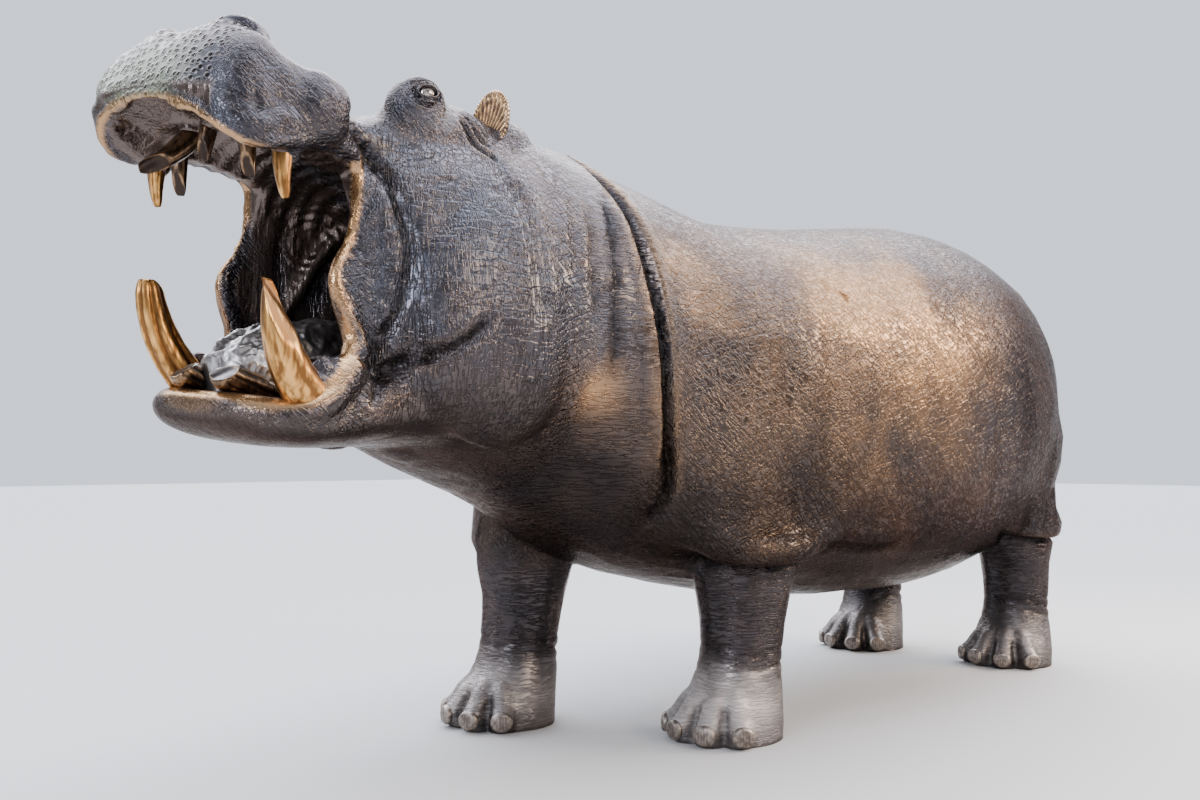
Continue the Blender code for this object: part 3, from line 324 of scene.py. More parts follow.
# ---------------------------------------------------------------- making forms
def smooth_table(table, steps):
    """More rows between those of a table, along a smooth curve."""
    rows = np.array(table, float)
    out = []
    for i in range(len(rows) - 1):
        p0, p1, p2, p3 = (rows[max(i - 1, 0)], rows[i], rows[i + 1], rows[min(i + 2, len(rows) - 1)])
        for k in range(steps):
            u = k / steps
            out.append(0.5 * (2 * p1 + (p2 - p0) * u + (2 * p0 - 5 * p1 + 4 * p2 - p3) * u * u
                              + (3 * p1 - p0 - 3 * p2 + p3) * u ** 3))
    out.append(rows[-1])
    return np.array(out)


def deselect():
    if bpy.context.mode != "OBJECT":
        bpy.ops.object.mode_set(mode="OBJECT")
    bpy.ops.object.select_all(action="DESELECT")


def add_loft(name, rings):
    """Closed form over equal rings of points, wound to face outwards."""
    bm = bmesh.new()
    rows = [[bm.verts.new(p) for p in ring] for ring in rings]
    count = len(rows[0])
    for a, b in zip(rows, rows[1:]):
        for i in range(count):
            j = (i + 1) % count
            bm.faces.new((a[i], a[j], b[j], b[i]))
    bm.faces.new(rows[0])
    bm.faces.new(list(reversed(rows[-1])))
    bmesh.ops.recalc_face_normals(bm, faces=bm.faces)
    mesh = bpy.data.meshes.new(name)
    bm.to_mesh(mesh)
    bm.free()
    ob = bpy.data.objects.new(name, mesh)
    bpy.context.scene.collection.objects.link(ob)
    return ob


def oval(top, bottom, half, power, count):
    """Points (across, up) round a superellipse."""
    mid, rise = (top + bottom) / 2, (top - bottom) / 2
    angles = np.arange(count) * 2 * math.pi / count
    c, s = np.cos(angles), np.sin(angles)
    return np.column_stack((half * np.sign(c) * np.abs(c) ** (2 / power),
                            mid + rise * np.sign(s) * np.abs(s) ** (2 / power)))


def long_form(name, table, place, power, count=48, steps=4):
    rings = [[place(station, t, z) for t, z in oval(top, bottom, half, power, count)]
             for station, top, bottom, half in smooth_table(table, steps)]
    return add_loft(name, rings)


def leg_form(name, table, side):
    rings = []
    for z, x, y, rx, ry in smooth_table(table, 4):
        rings.append([Vector((x + rx * math.cos(a), side * y + ry * math.sin(a), z))
                      for a in np.arange(40) * 2 * math.pi / 40])
    return add_loft(name, rings)


def ball(name, centre, radii, turn=(0.0, 0.0, 0.0), segments=32, rings=20):
    """A ball added at its place and drawn out into an ellipsoid."""
    deselect()
    bpy.ops.mesh.primitive_uv_sphere_add(segments=segments, ring_count=rings, radius=1.0,
                                         location=centre, rotation=turn)
    ob = bpy.context.object
    ob.scale = radii
    bpy.ops.object.transform_apply(location=True, rotation=True, scale=True)
    ob.name = ob.data.name = name
    return ob


def head_ball(name, place, radii, pitch=0.0, yaw=0.0):
    """An ellipsoid in the head's frame; its pitch and yaw are in degrees."""
    return ball(name, head_point(*place), radii, (0.0, math.radians(pitch), HEAD_YAW + math.radians(yaw)))


def side_balls(table):
    """Each ellipsoid of a table on both sides of the head."""
    return [head_ball(name, (s, side * t, z), radii, pitch, side * yaw)
            for _, side in SIDES for name, (s, t, z), radii, pitch, yaw in table]


def tube(name, path, sides=14):
    """A closed tube through (x, y, z, radius) rows."""
    rows = smooth_table(path, 4)
    rings = []
    for i, row in enumerate(rows):
        along = Vector(rows[min(i + 1, len(rows) - 1)][:3] - rows[max(i - 1, 0)][:3]).normalized()
        side_dir = along.cross(Vector((0.31, 0.17, 0.93)))
        if side_dir.length < 0.2:
            side_dir = along.cross(Vector((0.0, 1.0, 0.0)))
        side_dir.normalize()
        up = along.cross(side_dir)
        rings.append([Vector(row[:3]) + (side_dir * math.cos(a) + up * math.sin(a)) * row[3]
                      for a in np.arange(sides) * 2 * math.pi / sides])
    return add_loft(name, rings)


def lip_tube(name, path):
    """One tube round the whole arch of a lip, corner to corner."""
    half = [(*head_point(s, t, z), r) for s, t, z, r in path]
    other = [(*head_point(s, -t, z), r) for s, t, z, r in path[1:]]
    return tube(name, list(reversed(other)) + half)


def join(name, obs):
    deselect()
    for ob in obs:
        ob.select_set(True)
    bpy.context.view_layer.objects.active = obs[0]
    bpy.ops.object.join()
    obs[0].name = obs[0].data.name = name
    return obs[0]


def apply_modifier(ob, kind, **settings):
    deselect()
    ob.select_set(True)
    bpy.context.view_layer.objects.active = ob
    mod = ob.modifiers.new(kind.lower(), kind)
    for key, value in settings.items():
        setattr(mod, key, value)
    bpy.ops.object.modifier_apply(modifier=mod.name)
    return ob


def remesh(ob, voxel):
    return apply_modifier(ob, "REMESH", mode="VOXEL", voxel_size=voxel, adaptivity=0.0)


def cut(ob, cutter):
    apply_modifier(ob, "BOOLEAN", operation="DIFFERENCE", solver="EXACT", object=cutter)
    bpy.data.objects.remove(cutter, do_unlink=True)
    return ob


def points_of(ob):
    flat = np.empty(len(ob.data.vertices) * 3, np.float32)
    ob.data.vertices.foreach_get("co", flat)
    return flat.reshape(-1, 3).astype(float)


def normals_of(ob):
    flat = np.empty(len(ob.data.vertices) * 3, np.float32)
    ob.data.vertices.foreach_get("normal", flat)
    return flat.reshape(-1, 3).astype(float)


def set_points(ob, points):
    ob.data.vertices.foreach_set("co", np.ascontiguousarray(points, np.float32).ravel())
    ob.data.update()


def set_attribute(ob, name, values):
    layer = ob.data.attributes.new(name, "FLOAT", "POINT")
    layer.data.foreach_set("value", np.clip(values, 0.0, 1.0).astype(np.float32))


def finish_piece(ob, name, nodes, material):
    """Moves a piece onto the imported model, shades it and ties it to what it stands for."""
    set_points(ob, tilt_jaws(points_of(ob)) + np.array(SHIFT))
    ob.name = ob.data.name = name
    ob.data.materials.clear()
    ob.data.materials.append(material)
    ob.data.shade_smooth()
    ob.data.update()
    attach(ob, "root")
    if nodes:
        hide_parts(*nodes)
    return ob


# ---------------------------------------------------------------- sculpting
def ease(x):
    x = np.clip(x, 0.0, 1.0)
    return x * x * (3 - 2 * x)


def bell(x):
    return np.exp(-x * x)


def path_distance(plane, path):
    """Distance to a smooth path in a plane, signed by side, and place along it (0 to 1)."""
    rows = smooth_table(path, 5)
    best = np.full(len(plane), 9.0)
    sign = np.ones(len(plane))
    along = np.zeros(len(plane))
    lengths = np.linalg.norm(np.diff(rows, axis=0), axis=1)
    total, run = lengths.sum(), 0.0
    for a, b, length in zip(rows, rows[1:], lengths):
        d = (b - a) / length
        rel = plane - a
        u = np.clip(rel @ d, 0.0, length)
        off = rel - u[:, None] * d
        dist = np.linalg.norm(off, axis=1)
        near = dist < best
        best[near] = dist[near]
        sign[near] = np.sign(d[0] * rel[near, 1] - d[1] * rel[near, 0])
        along[near] = (run + u[near]) / total
        run += length
    return best, sign, along


def fold_push(plane, path, width, depth, swell, reach, keep):
    """How far a fold pushes each point along its normal: in at the crease, out beside it."""
    push = np.zeros(len(plane))
    rows = np.array(path)
    margin = width * 3 + reach * 2.5
    near = keep & np.all(plane > rows.min(0) - margin, axis=1) & np.all(plane < rows.max(0) + margin, axis=1)
    index = np.flatnonzero(near)
    if not len(index):
        return push
    dist, sign, along = path_distance(plane[index], path)
    fade = ease(along / 0.15) * ease((1 - along) / 0.15)
    crease = -depth * bell(dist / width)
    lip = np.where(sign > 0, 1.0, 0.35) * (dist > width * 0.4)
    beside = swell * bell((dist - reach * 0.75) / (reach * 0.6)) * lip
    push[index] = (crease + beside) * fade
    return push


def lumps(points, scale, seed=0.0):
    """Smooth noise, about -1 to 1, with lumps of the given size."""
    return np.array([noise.noise((x / scale + seed, y / scale - seed, z / scale)) for x, y, z in points])


def sculpt(ob, form):
    """Pushes each point along its normal as far as a form asks, which gets points, normals and head coordinates."""
    points, normals = points_of(ob), normals_of(ob)
    push = form(points, normals, head_coordinates(points))
    set_points(ob, points + normals * push[:, None])


def fold_form(points, normals, head):
    """Creases of the hide with the skin swelling beside them."""
    _, outward = head_directions(normals)
    push = np.zeros(len(points))
    for _, side in SIDES:
        keep_head = (head[:, 1] * side > 0.10) & (outward * side > 0.10) & (head[:, 0] > 0.20)
        facing = ease((outward * side - 0.12) / 0.35)
        for path, width, depth, swell, reach in HEAD_FOLDS:
            push += fold_push(head[:, (0, 2)], path, width, depth, swell, reach, keep_head) * facing
        keep_body = (points[:, 1] * side > 0.0) & (head[:, 0] < 0.46)
        for path, width, depth, swell, reach in BODY_FOLDS:
            push += fold_push(points[:, (0, 2)], path, width, depth, swell, reach, keep_body)
    return push


def sculpt_skirts(ob):
    """Shelves where the slack skin of shoulder and haunch hangs over the legs."""
    points, normals = points_of(ob), normals_of(ob)
    level = normals * (1.0, 1.0, 0.25)
    level /= np.maximum(np.linalg.norm(level, axis=1), 1e-6)[:, None]
    for _, side in SIDES:
        for path, swell, hollow, droop, shift in SKIRTS:
            rows = smooth_table([(x + (shift if side > 0 else 0.0), z) for x, z in path], 5)
            x, y, z = points.T
            index = np.flatnonzero((y * side > 0.17) & (normals[:, 1] * side > -0.35) & (z > 0.36) & (z < 0.80)
                                   & (x > rows[0, 0]) & (x < rows[-1, 0]))
            edge = np.interp(x[index], rows[:, 0], rows[:, 1])
            along = (x[index] - rows[0, 0]) / (rows[-1, 0] - rows[0, 0])
            fade = ease(along / 0.30) * ease((1 - along) / 0.22) * ease((y[index] * side - 0.17) / 0.10)
            if side > 0:
                fade *= ease((along - 0.35) / 0.35)
            h = z[index] - edge
            push = swell * bell((h - 0.030) / 0.040) * ease((h + 0.004) / 0.010) - hollow * bell((h + 0.016) / 0.018)
            points[index] += level[index] * (push * fade)[:, None]
            points[index, 2] -= droop * bell((h - 0.010) / 0.020) * fade
    set_points(ob, points)


def pleat_form(points, normals, head):
    """Pleats that fan out from the knob of the cheek's rim to the crease behind it."""
    _, outward = head_directions(normals)
    s, _, z = head.T
    push = np.zeros(len(points))
    for _, side in SIDES:
        keep = (head[:, 1] * side > 0.12) & (outward * side > 0.0) & (s > 0.60) & (s < 0.80) & (z > 0.90) & (z < 1.52)
        index = np.flatnonzero(keep)
        ds, dz = 0.83 - s[index], z[index] - 1.225
        angle = np.arctan2(dz, ds)
        wobble = np.array([noise.noise((a * 3.0, r * 14.0, side * 2.0)) for a, r in zip(angle, ds)])
        wave = np.cos((angle + 0.16 * wobble) * 26.0)
        inside = ease((s[index] - 0.640) / 0.02) * ease((0.775 - s[index]) / 0.02)
        band = ease((z[index] - 0.98) / 0.10) * ease((1.45 - z[index]) / 0.06)
        ridge = (0.5 + 0.5 * wave) ** 1.5
        crumple = np.array([noise.noise((a * 22, r * 60, side * 3.0)) for a, r in zip(angle, ds)])
        push[index] = ((ridge - 0.45) * 0.0058 + 0.0018 * crumple) * inside * band
    return push


def nose_form(points, normals, head):
    """Nostrils, the furrow between them, the hollow behind each and a knot of wrinkles."""
    front = (head[:, 0] > 0.74) & (head[:, 2] > 1.42)
    up = normals[:, 2] > -0.3
    push = np.zeros(len(points))
    s, t, z = head.T
    # furrow down the middle
    push -= 0.014 * bell(t / 0.030) * ease((s - 0.84) / 0.06) * ease((1.10 - s) / 0.06) * front * up
    for _, side in SIDES:
        mine = front & (t * side > 0.0)
        # hollow between nostril and the canine's bulge, from the top to the front of the lip
        path = ((0.870, 0.110, 1.65), (0.925, 0.180, 1.665), (0.968, 0.230, 1.625), (1.010, 0.250, 1.590))
        push += valley(head, path, side, 0.032, 0.011) * mine
        # slit of the nostril, with a raised rim
        slit = ((1.035, 0.110, 1.712), (1.012, 0.150, 1.708), (0.992, 0.180, 1.692), (0.988, 0.205, 1.672))
        push += valley(head, slit, side, 0.010, 0.018) * mine
        push -= valley(head, slit, side, 0.024, 0.004) * mine
        # star-shaped knot of wrinkles low on the side
        ds, dz = s - 1.035, z - 1.515
        r = np.hypot(ds, dz) + 1e-6
        rays = 0.5 + 0.5 * np.cos(np.arctan2(dz, ds) * 7.0 + 9.0 * r)
        knot = -0.005 * bell(r / 0.010) + 0.0028 * rays * bell((r - 0.028) / 0.020)
        push += knot * (t * side > 0.18) * front
        # uneven flesh round it
        index = np.flatnonzero((t * side > 0.15) & front & (z < 1.62))
        push[index] += 0.0030 * lumps(head[index], 0.030, 7.0) + 0.0016 * lumps(head[index], 0.014, 2.0)
    return push


def valley(head, path, side, width, depth):
    """Push of a groove along a path in space, on one side of the head."""
    rows = smooth_table(path, 5)
    rows[:, 1] *= side
    low, high = rows.min(0) - width * 3, rows.max(0) + width * 3
    index = np.flatnonzero(np.all(head > low, axis=1) & np.all(head < high, axis=1))
    push = np.zeros(len(head))
    if len(index):
        near = head[index]
        gaps = np.min([np.linalg.norm(near - row, axis=1) for row in rows], axis=0)
        push[index] = -depth * bell(gaps / width)
    return push


def eye_axes(side):
    """Along the lids, up across them and out of the eye."""
    out = (head_point(0.46, side * 0.88, 0.06) - head_point(0, 0, 0)).normalized()
    along = Vector((0.0, 0.0, 1.0)).cross(out).normalized()
    up = out.cross(along)
    return along, up, out


def sculpt_eyes(ob):
    """Ringed lids round an almond opening that lies over the eyeball."""
    points = points_of(ob)
    for _, side in SIDES:
        along, up, out = eye_axes(side)
        rel = points - np.array(eye_point(side))
        u, v, w = rel @ np.array(along), rel @ np.array(up), rel @ np.array(out)
        r = np.hypot(u, v)
        index = np.flatnonzero((r < 0.075) & (w > -0.02) & (w < 0.08))
        u, v, w, r = u[index], v[index], w[index], r[index]
        half, tall = EYE_OPENING
        edge = np.sqrt((u / half) ** 2 + (v / tall) ** 2)
        ball_rise = np.sqrt(np.maximum(EYE_RADIUS ** 2 - r ** 2, 0.0))
        lid = np.sqrt(np.maximum((EYE_RADIUS + 0.0065) ** 2 - r ** 2, 0.0))
        lid = np.maximum(lid, w * ease((r - 0.018) / 0.02) + lid * (1 - ease((r - 0.018) / 0.02)))
        beads = 1 + 0.45 * np.cos(np.arctan2(v / tall, u / half) * 15) * bell((edge - 1.95) / 0.25)
        rings = (0.0022 * bell((edge - 1.16) / 0.15) - 0.0022 * bell((edge - 1.58) / 0.15)
                 + 0.0018 * bell((edge - 1.95) / 0.18) * beads - 0.0014 * bell((edge - 2.42) / 0.18)
                 + 0.0006 * bell((edge - 2.85) / 0.22))
        inside = 1 - ease((edge - 0.90) / 0.14)
        target = (lid + rings) * (1 - inside) + (ball_rise - 0.006) * inside
        blend = 1 - ease((r - 0.036) / 0.030)
        new_w = w * (1 - blend) + target * blend
        points[index] += np.outer(new_w - w, np.array(out))
    set_points(ob, points)


def mouth_form(points, normals, head):
    """Ridges of the palate, rings of gum round the tusks and folds of the mouth's walls."""
    s, t, z = head.T
    inside = (s > 0.42) & (s < 1.12) & (np.abs(t) < 0.235) & (z > 0.86) & (z < 1.56)
    inward = -head_directions(normals)[1] * np.sign(t)
    push = np.zeros(len(points))
    clear = ease(lip_gap(head, LOWER_LIP) / 0.020)
    # ridges across the palate
    palate = inside & (normals[:, 2] < -0.35) & (z > 1.36)
    arch = s + 0.9 * t * t
    push += 0.0026 * np.cos(arch * 2 * math.pi / 0.042) * ease((s - 0.50) / 0.08) * ease((1.00 - s) / 0.08) * palate
    push -= 0.006 * bell(t / 0.012) * palate
    push += 0.012 * bell((np.abs(t) - 0.10) / 0.035) * ease((s - 0.95) / 0.04) * palate
    # folds down the walls and the back
    wall = inside & (z < 1.46) & (z > 0.98) & ((inward > 0.25) | (normals[:, 0] < -0.35)) & (s < 0.78) & (clear > 0.6)
    index = np.flatnonzero(wall)
    stretch = np.array([noise.noise((a * 26.0, b * 26.0, h * 5.0)) for a, b, h in head[index]])
    push[index] += 0.006 * stretch
    for _, side in SIDES:
        ds, dz = s - 0.575, z - 1.34
        rr = np.hypot(ds, dz)
        ring = np.cos(rr * 2 * math.pi / 0.020) * bell((rr - 0.055) / 0.030)
        push += 0.0024 * ring * wall * (t * side > 0.03)
        # rings of gum round the tusks
        tusk = np.array((0.845, side * 0.197, 0.955))
        gap = np.linalg.norm((head - tusk) * (1, 1, 0.6), axis=1)
        floor = inside & (z < 1.06) & (normals[:, 2] > 0.1)
        push += 0.006 * np.cos(gap * 2 * math.pi / 0.026) * bell((gap - 0.062) / 0.028) * floor * clear
    floor = inside & (z < 1.06) & (normals[:, 2] > 0.2)
    index = np.flatnonzero(floor)
    rough = np.array([noise.noise((a * 30.0, b * 16.0, h * 20.0)) for a, b, h in head[index]])
    push[index] += 0.005 * rough * clear[index]
    return push


def hide_form(points, normals, head):
    """Slack, uneven surface of hide, ring wrinkles at the wrists and furrows between toes."""
    push = 0.0035 * lumps(points, 0.16) + 0.0014 * lumps(points, 0.055, 3.1) - 0.0022
    quiet = 1 - ease((head[:, 0] - 0.70) / 0.1) * 0.7
    push *= quiet
    for table, side in LEGS.values():
        rows = np.array(table)
        cx = np.interp(points[:, 2], rows[::-1, 0], rows[::-1, 1])
        cy = side * np.interp(points[:, 2], rows[::-1, 0], rows[::-1, 2])
        near = (np.hypot(points[:, 0] - cx, points[:, 1] - cy) < 0.24) & (points[:, 2] < 0.5)
        index = np.flatnonzero(near)
        x, y, z = points[index].T
        angle = np.arctan2(y - cy[index], x - cx[index])
        sway = 0.010 * np.sin(angle * 2 + 1.3 * side) + 0.006 * np.sin(angle * 5 + cx[index] * 9)
        for height, depth, width in ((0.255, 0.006, 0.008), (0.215, 0.009, 0.009), (0.180, 0.006, 0.008),
                                     (0.33, 0.003, 0.008), (0.40, 0.0035, 0.008), (0.46, 0.004, 0.010)):
            push[index] -= depth * bell((z + sway - height) / width) * (0.55 + 0.45 * np.sin(angle + height * 40))
        foot_x, foot_y = table[-1][1], side * table[-1][2]
        for first, second in zip(TOE_ANGLES, TOE_ANGLES[1:]):
            a = math.radians(-side * (first + second) / 2)
            gap = (x - foot_x) * math.sin(a) + (y - foot_y) * math.cos(a)
            ahead = -(x - foot_x) * math.cos(a) + (y - foot_y) * math.sin(a)
            push[index] -= 0.016 * bell(gap / 0.010) * ease((ahead - 0.09) / 0.06) * ease((0.135 - z) / 0.06)
    return push


def laplace(points, ob, rounds, mask=None):
    """Points drawn towards the mean of their neighbours."""
    edges = np.empty(len(ob.data.edges) * 2, np.int32)
    ob.data.edges.foreach_get("vertices", edges)
    a, b = edges.reshape(-1, 2).T
    count = np.bincount(a, minlength=len(points)) + np.bincount(b, minlength=len(points))
    count = np.maximum(count, 1)[:, None]
    out = points.copy()
    for _ in range(rounds):
        total = np.column_stack([np.bincount(a, out[b, k], len(out)) + np.bincount(b, out[a, k], len(out))
                                 for k in range(3)])
        step = 0.5 * (total / count - out)
        out += step if mask is None else step * mask[:, None]
    return out


def head_forms():
    return [long_form("skull", SKULL, head_point, SKULL_POWER), long_form("muzzle", MUZZLE, head_point, SKULL_POWER),
            long_form("jaw", JAW, head_point, JAW_POWER), head_ball("throat", *THROAT)] + side_balls(HEAD_BALLS)


def mouth_forms():
    """What is added once the mouth has been hollowed: lips, gums and membranes."""
    forms = [lip_tube("upper_lip", UPPER_LIP), lip_tube("lower_lip", LOWER_LIP), head_ball("gum_front", *GUM_FRONT)]
    forms += [head_ball("peg_gum", place, radii) for place, radii in PEG_GUMS]
    for _, side in SIDES:
        forms.append(tube("membrane", [(*head_point(s, side * t, z), r) for s, t, z, r in MEMBRANE]))
    return forms + side_balls(GUM_BALLS)


def body_forms():
    forms = [long_form("trunk", TRUNK, body_point, TRUNK_POWER, count=56)]
    for leg, (table, side) in LEGS.items():
        forms.append(leg_form(leg, table, side))
        foot_x, foot_y = table[-1][1], side * table[-1][2]
        for angle in TOE_ANGLES:
            a = math.radians(-side * angle)
            ahead = Vector((-math.cos(a), math.sin(a), 0.0))
            base = Vector((foot_x, foot_y, 0.0))
            forms.append(ball("toe", base + ahead * TOE_REACH + Vector((0, 0, TOE_HEIGHT)), TOE_RADII, (0, 0, -a)))
            forms.append(tube("toe_root", [(*(base + ahead * reach + Vector((0, 0, z))), r)
                                           for reach, z, r in TOE_ROOT]))
    forms += [ball("flesh", (x, side * y, z), radii) for _, side in SIDES for (x, y, z), radii in BODY_BALLS]
    forms += [ball("skirt", centre, radii) for centre, radii in SKIRT_BALLS]
    rows = smooth_table(TAIL, 3)
    rings = []
    for i, (x, z, thick, half) in enumerate(rows):
        a, b = rows[max(i - 1, 0)], rows[min(i + 1, len(rows) - 1)]
        along = Vector((b[0] - a[0], 0.0, b[1] - a[1])).normalized()
        out = Vector((along.z, 0.0, -along.x))
        rings.append([Vector((x, 0, z)) + out * thick * math.cos(k) + Vector((0, half * math.sin(k), 0))
                      for k in np.arange(20) * 2 * math.pi / 20])
    forms.append(add_loft("tail", rings))
    return forms


def eye_gap(points):
    """Distance of each point from the nearer eye's centre."""
    head = head_coordinates(points)
    return np.min([np.linalg.norm(head - np.array((EYE[0], side * EYE[1], EYE[2])), axis=1)
                   for _, side in SIDES], axis=0)


def level_soles(ob):
    """The soles stand flat on the ground."""
    deselect()
    ob.select_set(True)
    bpy.context.view_layer.objects.active = ob
    bpy.ops.object.mode_set(mode="EDIT")
    bpy.ops.mesh.select_all(action="SELECT")
    bpy.ops.mesh.bisect(plane_co=(0, 0, 0.0003), plane_no=(0, 0, 1), use_fill=True, clear_inner=True)
    bpy.ops.object.mode_set(mode="OBJECT")


def thin_out(ob, facets):
    """Thins the mesh to a number of facets, the trunk more than head and feet."""
    points = points_of(ob)
    head = head_coordinates(points)
    behind = ease((0.34 - head[:, 0]) / 0.30)
    weight = 0.12 + 0.88 * behind
    weight = np.where((points[:, 2] < 0.30) & (behind > 0.9), 0.45, weight)
    weight = np.where(eye_gap(points) < 0.075, 0.0, weight)
    bend = np.linalg.norm(points - laplace(points, ob, 4), axis=1)
    weight = weight * (1 - 0.75 * ease((bend - 0.0006) / 0.0020))
    group = ob.vertex_groups.new(name="broad")
    steps = np.round(weight * 20).astype(int)
    for step in range(21):
        index = np.flatnonzero(steps == step)
        if len(index):
            group.add(index.tolist(), step / 20, "REPLACE")
    faces = sum(len(p.vertices) - 2 for p in ob.data.polygons)
    apply_modifier(ob, "DECIMATE", decimate_type="COLLAPSE", use_collapse_triangulate=True,
                   vertex_group="broad", vertex_group_factor=1.0, ratio=min(1.0, facets / faces))
    ob.vertex_groups.clear()


def refine_eyes(ob):
    """Smaller facets round the eyes, for the lids."""
    for radius in (0.085, 0.062):
        near = eye_gap(points_of(ob)) < radius
        deselect()
        ob.select_set(True)
        bpy.context.view_layer.objects.active = ob
        bpy.ops.object.mode_set(mode="EDIT")
        bpy.ops.mesh.select_all(action="DESELECT")
        bpy.ops.mesh.select_mode(type="VERT")
        bpy.ops.object.mode_set(mode="OBJECT")
        ob.data.vertices.foreach_set("select", near)
        bpy.ops.object.mode_set(mode="EDIT")
        bpy.ops.mesh.select_mode(type="FACE")
        bpy.ops.mesh.subdivide(number_cuts=1, quadcorner="INNERVERT")
        bpy.ops.object.mode_set(mode="OBJECT")


def room_share(head, table, margin):
    """1 inside a room of the mouth, easing to 0 over its wall."""
    rows = np.array(table)
    s, t, z = head.T
    top, bottom, half = (np.interp(s, rows[:, 0], rows[:, k]) for k in (1, 2, 3))
    depth = np.min([top + margin - z, z - bottom + margin, half + margin - np.abs(t),
                    s - rows[0, 0] + margin, rows[-1, 0] + margin - s], axis=0)
    return ease(depth / 0.012)


def lip_gap(head, path):
    """Distance from a lip's surface, the lip being the same on both sides."""
    rows = smooth_table(path, 4)
    flat = head.copy()
    flat[:, 1] = np.abs(flat[:, 1])
    return np.min([np.linalg.norm(flat - row[:3], axis=1) - row[3] for row in rows], axis=0)


def paint_skin(ob):
    """Where the bronze is worn bright, dark in its folds, dusty, pitted or lined, and where light and shade are
    painted into its colour.
    """
    points, normals = points_of(ob), normals_of(ob)
    x, y, _ = points.T
    head = head_coordinates(points)
    s, t, z = head.T
    ahead, outward = head_directions(normals)
    outward = outward * np.sign(t)
    upward = normals[:, 2]
    # regions: inside of the mouth, nose, pleats, legs, cheek, neck and brow
    lower, upper = lip_gap(head, LOWER_LIP), lip_gap(head, UPPER_LIP)
    mouth = np.maximum(room_share(head, PALATE, 0.010) * (z > 1.22), room_share(head, TROUGH, 0.010) * (z < 1.26))
    mouth = mouth * ease(np.minimum(lower, upper) / 0.012)
    nose = ease((s - 0.76) / 0.06) * (z > 1.30)
    pleated = ease((s - 0.60) / 0.03) * ease((0.84 - s) / 0.03) * (z > 0.98) * (z < 1.50)
    leg = ease((0.54 - z) / 0.06)
    cheek = ease((s - 0.22) / 0.12) * ease((0.74 - s) / 0.08) * ease((1.60 - z) / 0.08) * (1 - mouth)
    neck = ease((-1.13 - x) / 0.08) * ease((0.18 - s) / 0.10) * (1 - mouth)
    brow = bell(np.hypot(s - 0.53, z - 1.63) / 0.09)
    # how far each point stands out from the form round it
    rise = ((points - laplace(points, ob, 14)) * normals).sum(axis=1)
    rise = rise - laplace(np.column_stack((rise, rise, rise)), ob, 60)[:, 0]
    # gold on the rims of the lips, along a line on each, and on crests; over the top of the lower lip it is partly a
    # painted highlight
    facing = ease((outward + 0.75) / 0.5)
    inner = ease((0.30 - outward) / 0.6)
    line_low = lip_gap(head, [(s0 + 0.5 * r0, t0 + 0.2 * r0, z0 + 0.55 * r0, 0.0) for s0, t0, z0, r0 in LOWER_LIP])
    line_up = lip_gap(head, [(s0 + 0.004, t0 + 0.003, z0 - 0.8 * r0, 0.0) for s0, t0, z0, r0 in UPPER_LIP])
    # the lower lip's inner face is rubbed gold, its upward face a painted highlight
    whole = (1 - ease(lower / 0.008)) * np.maximum(inner, ease((upward - 0.1) / 0.4)) * facing
    rim = np.maximum(0.58 * whole, (1 - ease((line_low - 0.010) / 0.010)) * facing)
    rim = np.maximum(rim, (1 - ease((line_up - 0.008) / 0.009)) * ease((s - 1.00) / 0.06))
    crest = (ease((rise - 0.0010) / 0.0035) * (1 - mouth) * (1 - nose) * (1 - 0.7 * pleated) * (1 - 0.6 * leg)
             * (1 - 0.7 * ease((0.72 - z) / 0.12)))
    gold = np.clip(rim + 0.26 * crest * (1 - 0.6 * ease((s - 0.1) / 0.2)), 0, 1)
    deep = ease((-rise - 0.0010 - 0.0010 * ease((s - 0.1) / 0.2)) / 0.0035)
    deep = deep * (1 - 0.6 * ease((0.22 - z) / 0.06)) * (1 - 0.55 * mouth)
    # dust to an uneven line above the feet, thickest on the near forefoot
    low = np.flatnonzero(z < 0.40)
    reach = z.copy()
    reach[low] += 0.030 * lumps(points[low], 0.05, 4.0)
    dust = (1 - ease((reach - 0.10) / 0.17)) * (0.35 + 0.65 * ease((upward + 0.2) / 0.7))
    dust *= np.where(x < 0, np.where(y < 0, 1.0, 0.6), 0.45)
    # painted patches of warm sunlight on neck and flank
    warm = np.zeros(len(points))
    for centre, height, size in SUNLIT_PATCHES:
        warm = np.maximum(warm, bell(np.hypot(x - centre, z - height) / size))
    # grey patina tinted blue-grey as a painted sky sheen on head and neck, painted shade on the rump, grey on the legs
    cool = ease((s + 0.35) / 0.5) * (1 - 0.6 * ease((1.12 - z) / 0.25))
    cool = np.maximum(cool, np.maximum(0.80 * ease((x - 0.22) / 0.35), 0.75 * leg))
    # painted shade, nearly black, on the belly, the undersides, the rump and the side of the muzzle
    below = np.maximum(0.75 * ease((0.86 - z) / 0.45), ease((0.10 - upward) / 0.8) * ease((1.25 - z) / 0.35))
    below = np.maximum(below, 0.85 * ease((x - 0.30) / 0.35) * ease((1.60 - z) / 0.25))
    muzzle_side = 0.55 * ease((s - 0.76) / 0.08) * ease((outward - 0.45) / 0.35) * (z > 1.30) * (1 - mouth)
    below = np.maximum(below, muzzle_side)
    # pits over the snout and grey-green on its front
    pits = ease((s - 0.84) / 0.06) * (1 - mouth) * ease((z - 1.50) / 0.05) * ease((s + 0.9 * (z - 1.45) - 0.98) / 0.08)
    pits *= ease((0.80 - outward) / 0.25) * ease((0.215 - np.abs(t)) / 0.03)
    green = (ease((s - 0.98) / 0.08) * ease((z - 1.50) / 0.05) * ease((1.70 - z) / 0.10)
             * ease((ahead - 0.30) / 0.5) * ease((t + 0.20) / 0.20) * (1 - mouth))
